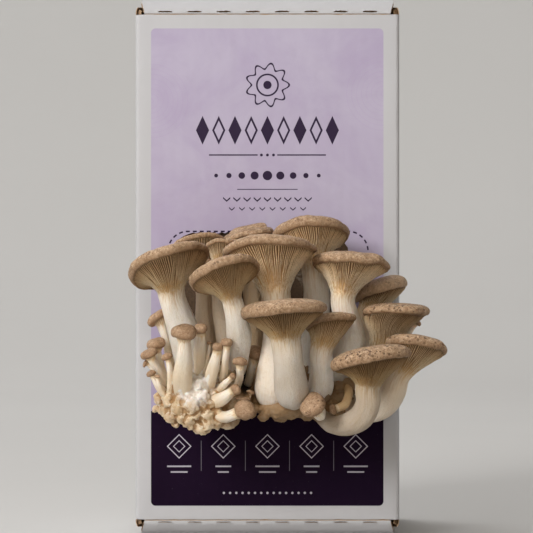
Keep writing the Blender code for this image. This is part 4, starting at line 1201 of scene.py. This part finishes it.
def foot_balls():
    """The balls that the foot is fused from, the knobs' tips (spot, radius, brown) and the
    stems' collars (x, y, z, radius)."""
    bm = bmesh.new()
    for centre, axes in FOOT_LUMPS:
        add_ball(bm, centre, axes)
    draw = random.Random(41)

    def bud(spot, size, across=1.0, up=1.0):
        add_ball(bm, spot, (size, size * across, size * up), 2)

    def out_of(x, y, spread_x, spread_y):
        """A way out of the foot's open side: the means of its x and y, and their spreads."""
        return Vector((
            draw.gauss(x, spread_x), draw.gauss(y, spread_y), draw.gauss(x, spread_x)
        )).normalized()

    for centre, r in PRIMORDIA:
        add_ball(bm, centre, (r * 0.93,) * 3)
    tips = []
    for x, z, r, buds, brown in KNOBS:
        depth = min((
            c[1] - math.sqrt(max(0.0, R * R - (x - c[0]) ** 2 - (z - c[2]) ** 2))
            for c, R in PRIMORDIA if math.hypot(x - c[0], z - c[2]) < R + 2.5
        ), default=-100.0)
        spot = Vector((x, depth + 0.35 * r, z))
        ranges = ((0.92, 1.08), (0.95, 1.25), (0.92, 1.08))
        add_ball(bm, spot, [r * draw.uniform(*pair) for pair in ranges])
        for _ in range(buds * 2):
            way = out_of(0, -1.0, 0.8, 0.5)
            bud(spot + way * r, draw.uniform(0.75, 1.35), 1.15, draw.uniform(0.9, 1.3))
        tips.append((spot, r, brown))
    for _ in range(150):  # a few stray buds anywhere
        centre, r = draw.choice(PRIMORDIA)
        way = out_of(-0.1, -0.9, 1, 0.8)
        size = draw.uniform(0.7, 1.6)
        bud(Vector(centre) + way * (r - size * 0.3), size)
    # low swellings on the right, where the big stems are joined
    for count, ranges, sizes in (
        (60, ((-14, 44), (-96, -62), (66, 86)), (2.5, 5.0)),
        (34, ((-8, 24), (-114, -98), (68, 72.5)), (1.5, 3.4)),
    ):
        for _ in range(count):
            spot = [draw.uniform(*pair) for pair in ranges]
            bud(spot, draw.uniform(*sizes), up=0.8)
    # collars that rise round the stems
    collars = []
    for spec in (*LARGE.values(), *SMALL.values()):
        for i, row in enumerate(catmull(spec["stem"], 8)[-13:]):
            r = row[3] * (0.86 + 0.17 * (i / 12) ** 1.5) + 0.25 * i / 12
            bud(row[:3], r)
            collars.append(row)
    return bm, tips, collars


def creases(mesh, points, normals):
    """How deep each point lies in a crease: the way to its smoothed neighbours along the
    normal."""
    a, b = read(mesh.edges, "vertices", np.int64, 2).T
    degree = np.bincount(np.concatenate((a, b)), minlength=len(points))[:, None]
    smooth = points.copy()
    for _ in range(14):
        total = np.zeros_like(smooth)
        np.add.at(total, a, smooth[b])
        np.add.at(total, b, smooth[a])
        smooth = total / np.maximum(degree, 1)
    return ((smooth - points) * normals).sum(1) / MM


def make_foot(finish, pin_finish):
    bm, tips, collars = foot_balls()
    foot = object_of("foot", bm)
    fuse = foot.modifiers.new("fuse", "REMESH")
    fuse.mode, fuse.voxel_size = "VOXEL", FOOT_VOXEL * MM
    soften = foot.modifiers.new("soften", "SMOOTH")
    soften.factor, soften.iterations = 0.5, 2
    foot.modifiers.new("thin", "DECIMATE").ratio = FOOT_KEEP
    settle(foot)

    # nothing behind the block's face shows
    mesh = foot.data
    points = read(mesh.vertices, "co", float)
    points[:, 1] = np.minimum(points[:, 1], (BLOCK[0][1] + 1.5) * MM)
    # a deep hole between the knobs and the stout stems
    middle_x, middle_z, half_w, half_h = HOLE
    away = np.hypot(
        (points[:, 0] / MM - middle_x) / half_w, (points[:, 2] / MM - middle_z) / half_h)
    in_front = points[:, 1] < HOLE_BACK * MM
    points[:, 1] += HOLE_DEPTH * MM * smoothstep(1.2, 0.6, away) * in_front
    # grit, but none on the stems' collars or at the block's face
    grit = np.array([
        noise.noise(Vector(p) * 480) * 0.50 + noise.noise(Vector(p) * 950) * 0.34 for p in points
    ])
    clear = BLOCK[0][1] + 1.0 - points[:, 1] / MM
    for *centre, r in collars:
        clear = np.minimum(clear, np.linalg.norm(points / MM - centre, axis=1) - r)
    grit = grit * smoothstep(0.2, 2.0, clear) * MM
    points += read(mesh.vertex_normals, "vector") * grit[:, None]
    mesh.vertices.foreach_set("co", points.ravel())
    mesh.update()

    # how deep each point lies in a crease, for the painted shade there
    crease_shade = creases(mesh, points, read(mesh.vertex_normals, "vector"))
    brown = np.zeros(len(points))
    for spot, r, amount in tips:
        away = np.linalg.norm(points / MM - (spot[0], spot[1] - r, spot[2]), axis=1)
        brown = np.maximum(brown, amount * smoothstep(r * 1.15, r * 0.45, away))
    for name, values in (
        ("crease_shade", np.clip(crease_shade * 2.4, 0, 1)), ("tip", brown), ("zone", brown * 0 + 2.5),
        ("ridge", brown * 0 + 0.5), ("grain", points / MM),
    ):
        set_attribute(mesh, name, values)
    mesh.materials.append(finish)
    mesh.shade_smooth()

    pins = [make_button(f"pin_{k}", 40 + k, spec, 48, pin_finish) for k, spec in enumerate(PINS)]
    for pin in pins:
        for key in ("crease_shade", "tip"):
            set_attribute(pin.data, key, np.zeros(len(pin.data.vertices)))
    join([foot, *pins])
    place(foot, "young_flesh", "stem_base")


# ---- carton ---------------------------------------------------------------------------
PRINTED, WHITE, KRAFT = 0, 1, 2  # numbers of the walls' materials


def perimeter(half_x, half_y, radius, step):
    """Points and outward normals round a rectangle with round corners, about step apart on
    the flats, counter-clockwise from the right end of the front."""
    points, normals = [], []
    centres = [
        np.array((side_x * (half_x - radius), side_y * (half_y - radius)))
        for side_x, side_y in ((1, -1), (1, 1), (-1, 1), (-1, -1))
    ]
    for k, centre in enumerate(centres):
        for a in np.radians(np.linspace(k * 90 - 90, k * 90, 7)):
            way = np.array((math.cos(a), math.sin(a)))
            points.append(centre + way * radius)
            normals.append(way)
        first, last = points[-1], centres[(k + 1) % 4] + way * radius
        count = int(np.linalg.norm(last - first) / step)
        for t in np.arange(1, count) / count:
            points.append(first * (1 - t) + last * t)
            normals.append(way)
    return np.array(points), np.array(normals)


NIB_PITCH, NIB_DEPTH = 3.7, 0.55  # of the nibs that the torn perforation leaves


def window_cutter(materials):
    """The window's cut, along a perforated line, so its edge keeps small nibs."""
    left, right, bottom, top = WINDOW
    line, normals = perimeter((right - left) / 2, (top - bottom) / 2, WINDOW_RADIUS, 0.7)
    run = run_along(line)
    bite = smoothstep(0.35, 0.65, 0.5 + 0.5 * np.cos(run / NIB_PITCH * TAU)) * NIB_DEPTH
    wander = 0.12 * np.sin(run * 0.9) + 0.08 * np.sin(run * 2.3 + 1)
    line = line - normals * (bite + wander)[:, None] + ((right + left) / 2, (top + bottom) / 2)
    n = len(line)
    points = [(x, y, z) for y in (FRONT_Y - 4.0, FRONT_Y + BOARD + 4.0) for x, z in line]
    faces = [(k, (k + 1) % n, n + (k + 1) % n, n + k) for k in range(n)]
    faces += [tuple(range(n))[::-1], tuple(range(n, 2 * n))]
    cutter = add_object("window_cutter", points, faces, materials, [KRAFT] * len(faces), False)
    outwards(cutter)
    return cutter


def closed_ring(outer, inner, levels_out, levels_in, outside=None):
    """Points, faces and material numbers of a wall between two closed lines. levels are
    (height, inset) rows; outside numbers the outer face's material for each column, where
    it isn't kraft like the rest."""
    n = len(outer[0])
    points = np.concatenate([
        np.column_stack((line - normals * inset, np.full(n, height)))
        for (line, normals), levels in ((outer, levels_out), (inner, levels_in))
        for height, inset in levels
    ])
    total = len(points) // n
    faces, indices = [], []
    for i in range(total):
        j = (i + 1) % total
        for k in range(n):
            after = (k + 1) % n
            faces.append((i * n + k, i * n + after, j * n + after, j * n + k))
            on_outside = outside is not None and i < len(levels_out) - 1
            indices.append(outside[k] if on_outside else KRAFT)
    return points, faces, indices


def press_ends(points, low, high):
    """The creases at the walls' ends are pressed a little unevenly."""
    draw = random.Random(5)
    phases = [draw.uniform(0, TAU) for _ in range(4)]
    near = smoothstep(6.0, 0.0, np.minimum(points[:, 2] - low, high - points[:, 2]))
    wave = sum(
        0.07 * np.sin(points[:, 0] * f + p) for f, p in zip((0.11, 0.23, 0.41, 0.9), phases)
    )
    points[:, 2] -= near * np.abs(wave) * np.sign(points[:, 2] - (low + high) / 2)


def make_walls(printed, white, kraft):
    """Outer liner, fluted paper and inner liner, with the window cut through all three."""
    materials = [printed, white, kraft]
    low, high = FACE_BOTTOM, FACE_TOP
    # (distance from the end, inset): the outer liner's ends are pressed in
    ends = ((EDGE, 0.40), (0.10, 0.16), (0.32, 0.03), (0.8, 0.0), (2.5, 0.0))
    levels = [(low + up, inset) for up, inset in ends]
    levels += [(height, 0.0) for height in np.linspace(low + 12, high - 12, 12)]
    levels += [(high - down, inset) for down, inset in ends[::-1]]
    inside = [(high - EDGE, LINER), (low + EDGE, LINER)]

    outer = perimeter(BOX_WIDTH / 2, BOX_DEPTH / 2, CORNER_RADIUS, 3.0)
    front = outer[1][:, 1] < -0.999
    outside = np.where(front & np.roll(front, -1), PRINTED, WHITE)
    sheets = [closed_ring(outer, outer, levels, inside, outside)]
    press_ends(sheets[0][0], low, high)

    line, normals = perimeter(BOX_WIDTH / 2 - BOARD / 2, BOX_DEPTH / 2 - BOARD / 2, 1.2, 0.53)
    step = np.linalg.norm(np.roll(line, -1, 0) - line, axis=1)
    turns = round(step.sum() / FLUTE_PITCH)
    swing = FLUTE_SWING * np.cos(run_along(line) / step.sum() * TAU * turns)
    outline, thick = line + normals * swing[:, None], normals * MEDIUM / 2
    flat = [(low + 0.15, 0.0), (high - 0.15, 0.0)]
    sheets.append(closed_ring(
        (outline + thick, normals), (outline - thick, normals), flat, flat[::-1]))

    back = perimeter(BOX_WIDTH / 2 - BOARD + LINER, BOX_DEPTH / 2 - BOARD + LINER, 0.9, 3.0)
    heights = (low + EDGE, *np.linspace(low + 12, high - 12, 6), high - EDGE)
    levels = [(height, 0.0) for height in heights]
    sheets.append(closed_ring(back, back, levels, inside))

    shells = [
        add_object(name, points, faces, materials, indices)
        for name, (points, faces, indices) in zip(("walls", "fluting", "inner_liner"), sheets)
    ]
    cutter = window_cutter(materials)
    for shell in shells:
        outwards(shell)
        cut = shell.modifiers.new("window", "BOOLEAN")
        cut.operation, cut.object, cut.solver = "DIFFERENCE", cutter, "EXACT"
        cut.material_mode = "INDEX"
        settle(shell)
        shell.data.shade_smooth()
        shell.data.set_sharp_from_angle(angle=math.radians(38))
    bpy.data.objects.remove(cutter, do_unlink=True)
    join(shells)
    place(shells[0], "board", "carton_walls")


def slab(name, top, bottom, materials, on_top=0, on_side=0, holes=None):
    """A closed sheet between two grids of rows x columns of points. on_top numbers the
    material of the top, on_side that of the rest. holes says which of the (rows - 1) x
    (columns - 1) cells are left open."""
    rows, columns = top.shape[:2]
    points = np.concatenate((top.reshape(-1, 3), bottom.reshape(-1, 3)))
    off = rows * columns
    here = np.zeros((rows + 1, columns + 1), bool)
    here[1:-1, 1:-1] = True if holes is None else ~holes
    faces, indices = [], []
    for i in range(rows - 1):
        for j in range(columns - 1):
            if not here[i + 1, j + 1]:
                continue
            a = i * columns + j
            ring = (a, a + 1, a + columns + 1, a + columns)
            faces += [ring, tuple(off + p for p in ring[::-1])]
            indices += [on_top, on_side]
            beside = (here[i, j + 1], here[i + 1, j + 2], here[i + 2, j + 1], here[i + 1, j])
            for k, is_closed in enumerate(beside):
                if not is_closed:
                    p, q = ring[k], ring[(k + 1) % 4]
                    faces.append((p, off + p, off + q, q))
                    indices.append(on_side)
    obj = add_object(name, points, faces, materials, indices)
    outwards(obj)
    obj.data.set_sharp_from_angle(angle=math.radians(40))
    return obj


def board(name, node, materials, grid, plain, fine, phases, holes=None, body="carton"):
    """A piece of board: two liners over the columns plain, and fluted paper over the columns
    fine. grid gives the points of columns at a depth in the board; phases are the flutes'."""
    swing = BOARD / 2 + FLUTE_SWING * np.cos(phases)
    outer, inner, medium = (
        slab(name, grid(xs, upper), grid(xs, lower), materials, skin, 1, holes and holes(xs))
        for xs, upper, lower, skin in (
            (plain, EDGE, LINER, 0), (plain, BOARD - LINER, BOARD - EDGE, 1),
            (fine, swing - MEDIUM / 2, swing + MEDIUM / 2, 1),
        )
    )
    join([outer, medium, inner])
    place(outer, "board", node, body=body)


class Section:
    """A flap's outer line, with the points any depth inside it."""

    def __init__(self, outer, per_span):
        self.line = catmull(outer, per_span)
        way = tangents(self.line)
        self.inward = np.column_stack((way[:, 1], -way[:, 0]))
        self.run = run_along(self.line)

    def at(self, run, inset):
        """Points (along, height) at a distance along the line and a depth inside it."""
        return [
            np.interp(run, self.run, self.line[:, k])
            + np.interp(run, self.run, self.inward[:, k]) * inset for k in (0, 1)
        ]


def flap_outer_section():
    tuck_y = BACK_Y - BOARD - 0.7
    return (
        (FRONT_Y, GAP), (FRONT_Y + 0.1, 1.8), (FRONT_Y + 1.4, 3.8), (FRONT_Y + 4.6, 7.0),
        (FRONT_Y + 10.0, 9.0), (FRONT_Y + 17.0, 9.8), (FRONT_Y + 24.0, FLAP_BULGE),
        (BACK_Y - 24.0, FLAP_BULGE), (BACK_Y - 14.0, 9.5), (BACK_Y - 7.0, 7.6),
        (tuck_y, 3.4), (tuck_y - 0.3, 0.0), (tuck_y - TUCK_LEAN, -TUCK_LENGTH),
    )


def make_end_flap(end, crease_z, up, materials, body):
    """A main flap with a row of torn slits just above the crease."""
    per_span, tab_span = 10, 11
    section = Section(flap_outer_section(), per_span)
    length = section.run[-1]
    fold = section.run[tab_span * per_span]  # where the tab begins
    mids = (np.arange(SLITS) - (SLITS - 1) / 2) * SLIT_PITCH
    half_slit = SLIT_LENGTH / 2
    draw = random.Random(11 if up > 0 else 12)
    gape = 1.0 if up > 0 else 0.3  # the bottom flap's slits are nearly shut
    phases = [draw.uniform(0, TAU) for _ in range(4)]

    columns = {-FLAP_NECK_HALF, FLAP_NECK_HALF, -62.0, 62.0}
    for off in (0.0, 1.3, 2.5, 3.3, 3.7, half_slit, 4.6):
        columns |= {round(x, 3) for x in (*(mids - off), *(mids + off))}
    columns = np.array(sorted(columns))
    waves = np.linspace(-FLAP_NECK_HALF, FLAP_NECK_HALF, 169)

    low_lip, high_lip = 2, 3  # rows of the slits' edges
    runs = np.concatenate((
        (0.0, 0.35, 0.75, 0.80, 1.75, 2.6, 3.8, 5.5), np.linspace(8.5, fold - 3, 12),
        np.linspace(fold - 1, fold + 7, 7), (fold + 12, length - 2.0, length - 0.4, length),
    ))
    every = list(range(len(runs)))
    some = every[:4] + every[4:-1:2] + every[-1:]

    def rows_for(xs):
        """The fluted paper needs fewer rows than the liners."""
        return some if xs is waves else every

    def uneven(xs, first, second, slow, fast):
        return 0.5 + 0.25 * np.sin(xs * slow + first) + 0.25 * np.sin(xs * fast + second)

    def from_slit(xs):
        return np.min(np.abs(xs[:, None] - mids[None]), axis=1)

    def grid(xs, inset):
        """Points for columns xs at a depth inset (a number, or one for each column)."""
        lens = np.sqrt(np.clip(1 - (from_slit(xs) / half_slit) ** 4, 0, 1))
        torn, ragged = uneven(xs, *phases[:2], 2.9, 5.3), uneven(xs, *phases[2:], 2.2, 4.4)
        sheet = []
        for k in rows_for(xs):
            run = runs[k]
            along, lift = run + 0 * xs, 0 * xs
            if k == low_lip:
                along, lift = run - 0.22 * lens * ragged, -0.18 * lens
            elif k == high_lip:
                along = run + lens * (0.42 + 0.30 * torn) * gape
                lift = lens * (0.22 + 0.25 * torn)
            elif k == high_lip + 1:
                lift = 0.16 * lens
            dimple = 0.10 * np.sin(xs * 0.21 + run * 0.05) * smoothstep(3, 12, run)
            y, h = section.at(along, inset - lift + dimple - 0.1 * smoothstep(0.0, 0.3, run))
            grown = min(1.0, max(0.0, run / FLAP_CHAMFER))
            half = FLAP_NECK_HALF + (FLAP_HALF - FLAP_NECK_HALF) * grown
            half -= float(np.interp(run, (fold - 6, fold, length - 6, length), (0, 0.9, 2.2, 6.0)))
            half -= 0.5 * (1 - smoothstep(0.0, 0.8, length - run))
            scale = 1 + (half / FLAP_NECK_HALF - 1) * smoothstep(0.0, 4.0, run)
            sheet.append(np.column_stack((xs * scale, y, crease_z + up * h)))
        return np.array(sheet)

    def holes(xs):
        off, rows = from_slit(xs) < half_slit + 0.01, rows_for(xs)
        cells = np.zeros((len(rows) - 1, len(xs) - 1), bool)
        cells[rows.index(low_lip)] = off[:-1] & off[1:]
        return cells

    board(f"flap_{end}", f"{end}_flap", materials, grid, columns, waves,
          waves * TAU / FLUTE_PITCH + 0.8, holes, body)


def make_dust_flap(where, side, crease_z, up, materials):
    edge, taper_at, flutes = BOX_WIDTH / 2, 14.0, 13
    outer = [
        (-edge, GAP), (-(edge - 0.1), 2.0), (-(edge - 0.9), 3.9), (-(edge - 2.6), 4.8),
        (-(edge - 5.0), 4.9), (-(edge - taper_at), 4.3), (-(edge - DUST_LENGTH), 3.5),
    ]
    section = Section(outer, 8)
    length = section.run[-1]
    runs = np.concatenate((np.linspace(0, 9, 15), np.linspace(12, length - 0.5, 7), (length,)))

    def grid(shares, inset):
        sheet = []
        for run in runs:
            x, h = section.at(run + 0 * shares, inset)
            x0 = section.at(run, 0.0)[0]
            tapered = min(1.0, max(0.0, (edge - taper_at + x0) / (DUST_LENGTH - taper_at)))
            ear = (DUST_FRONT - 3.5) * (1 - smoothstep(3.6, 5.6, run))  # the fold's own end
            front = FRONT_Y + DUST_FRONT - ear + DUST_TAPER * tapered
            back = BACK_Y - DUST_BACK - DUST_TAPER * tapered
            y = front + (back - front) * shares
            sheet.append(np.column_stack((-side * x, y, crease_z + up * h)))
        return np.array(sheet)

    fine = np.linspace(0, 1, flutes * 8 + 1)
    board(f"dust_{where}", f"dust_flap_{where}", materials, grid, np.linspace(0, 1, 15), fine,
          fine * flutes * TAU)


def make_crease(end, crease_z, up, kraft):
    """The pressed fold between the front panel and a main flap, a torn brown line."""
    xs = np.linspace(-FLAP_NECK_HALF + 0.4, FLAP_NECK_HALF - 0.4, 90)
    wave = 0.05 * np.sin(xs * 0.9) + 0.05 * np.sin(xs * 2.1 + 1)
    top, bottom = (
        np.array([
            np.column_stack((
                xs, FRONT_Y + inset + wave + 0.12 * math.cos(h * 3),
                np.full(len(xs), crease_z + up * h),
            )) for h in (-0.55, -0.3, -0.1, 0.1, 0.3, 0.55, 0.8)
        ]) for inset in (0.46, 0.78)
    )
    obj = slab(f"crease_{end}", top, bottom, [kraft])
    if up > 0:
        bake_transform(obj)
    else:
        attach(obj, "carton")


# ---- block ----------------------------------------------------------------------------
BLOCK_ROUND, BLOCK_VOXEL = 8.0, 3.1


def make_block(finish):
    """The bagged block, knobbly where the mycelium has knitted the sawdust."""
    bm = bmesh.new()
    bmesh.ops.create_cube(bm, size=1.0)
    for vert in bm.verts:
        vert.co = Vector([(a + b) / 2 + v * (b - a) for a, b, v in zip(*BLOCK, vert.co)]) * MM
    obj = object_of("block", bm)
    soft = obj.modifiers.new("round", "BEVEL")
    soft.width, soft.segments = BLOCK_ROUND * MM, 4
    fine = obj.modifiers.new("fine", "REMESH")
    fine.mode, fine.voxel_size = "VOXEL", BLOCK_VOXEL * MM
    settle(obj)
    mesh = obj.data
    points = read(mesh.vertices, "co", float)
    x, y, z = points.T / MM
    bumps = (
        np.sin(x * 0.21 + 1.3 * np.sin(z * 0.13)) * np.sin(z * 0.19 + y * 0.17)
        + 0.6 * np.sin(x * 0.47 + z * 0.39 + y * 0.43)
        + 0.4 * np.sin(x * 0.83 - z * 0.71 + y * 0.9)
    )
    points += read(mesh.vertex_normals, "vector") * ((bumps - 1.6) * 0.32 * MM)[:, None]
    mesh.vertices.foreach_set("co", points.ravel())
    mesh.update()
    mesh.shade_smooth()
    mesh.materials.clear()
    mesh.materials.append(finish)
    place(obj, "substrate", "substrate_block")


# ---- studio ---------------------------------------------------------------------------
CARTON_TOP, BACKDROP = (-0.01, -0.07, 0.25), (0.0, 1.6, 0.0)  # what the lamps look at
LAMPS = (  # name, place, size, power, colour, aim, spread in degrees
    ("key", (-0.80, -1.14, 0.78), (0.60, 0.60), 3.15, (1.0, 0.99, 0.975), CARTON_TOP, 72),
    ("front", (-0.15, -1.9, 0.50), (0.9, 0.8), 6.2, (1.0, 0.90, 0.76), CARTON_TOP, 180),
    ("right", (1.3, -0.5, 0.6), (0.7, 0.9), 1.0, (1.0, 0.96, 0.90), CARTON_TOP, 180),
    ("back", (-0.6, 1.0, 2.2), (1.6, 1.2), 31.0, (1.0, 1.0, 1.0), BACKDROP, 180),
)


def make_studio():
    made = Material("studio_floor")
    shade = made.mix(made.noise(400.0, 2.0), (0.60, 0.592, 0.580), (0.64, 0.632, 0.620))
    floor = made.finish(shade, 0.75)
    # the floor's profile as (radius, height) in metres: flat, a cove and a wall
    flat, cove, turns = 1.5, 0.9, 72
    profile = [(r, 0.0) for r in np.linspace(0.02, flat, 6)]
    profile += [
        (flat + cove * math.sin(a), cove - cove * math.cos(a))
        for a in np.linspace(0.12, math.pi / 2, 14)
    ]
    profile += [(flat + cove, z) for z in np.linspace(1.3, 4.0, 5)]
    n = len(profile)
    points = [
        (r / MM * math.cos(TAU * k / turns), r / MM * math.sin(TAU * k / turns), z / MM)
        for k in range(turns) for r, z in profile
    ]
    faces = [list(range(0, turns * n, n))] + [
        (k * n + i, k * n + i + 1, (k + 1) % turns * n + i + 1, (k + 1) % turns * n + i)[::-1]
        for k in range(turns) for i in range(n - 1)
    ]
    add_object("sweep", points, faces, [floor])

    world = bpy.data.worlds.new("studio")
    world.use_nodes = True
    background = world.node_tree.nodes["Background"].inputs
    background[0].default_value, background[1].default_value = (1.0, 0.89, 0.76, 1.0), 0.14
    bpy.context.scene.world = world

    for name, at, size, power, colour, aim, spread in LAMPS:
        data = bpy.data.lights.new(name, "AREA")
        data.shape = "RECTANGLE"
        data.size, data.size_y = size
        data.energy, data.color, data.spread = power, colour, math.radians(spread)
        lamp = link(name, data)
        lamp.location = at
        lamp.rotation_euler = (Vector(aim) - Vector(at)).to_track_quat("-Z", "Y").to_euler()
    bpy.context.scene.view_settings.view_transform = "Standard"


# ---- all ------------------------------------------------------------------------------
def main():
    make_camera()
    make_studio()
    printed, white, kraft = print_material(), white_material(), kraft_material()
    make_walls(printed, white, kraft)
    for end, crease_z, up, body in (
        ("top", FACE_TOP, 1, "top_flap"), ("bottom", FACE_BOTTOM, -1, "carton"),
    ):
        make_end_flap(end, crease_z, up, [white, kraft], body)
        make_crease(end, crease_z, up, kraft)
        for hand, side in (("left", -1), ("right", 1)):
            make_dust_flap(f"{end}_{hand}", side, crease_z, up, [white, kraft])
    make_block(block_material())

    finishes = {}
    for number, spec in LARGE.items():
        look = {key: spec.get(key, 0.0) for key in ("speckle", "golden_and_shade", "gill_shade", "painted_shade", "painted_light")}
        label = "_".join(["flesh", *(str(round(v * 100)) for v in look.values())])
        if label not in finishes:
            finishes[label] = flesh_material(label, **look)
        make_large(number, spec, finishes[label])
    young = flesh_material("young_flesh", 0.25, young=True)
    spotted = flesh_material("young_flesh_spotted", 1.0, young=True)
    golden_and_shade = flesh_material("young_flesh_golden", 0.25, young=True, golden_and_shade=0.85)
    for number, spec in SMALL.items():
        finish = golden_and_shade if "golden_and_shade" in spec else spotted if "speckle" in spec else young
        sides = 80 if spec["size"][0] > 4 else 56
        obj = make_button(f"young_{number:02d}", number, spec, sides, finish)
        place(obj, "young_flesh", f"small_mushroom_{number:02d}")
    make_foot(foot_material(), young)


main()
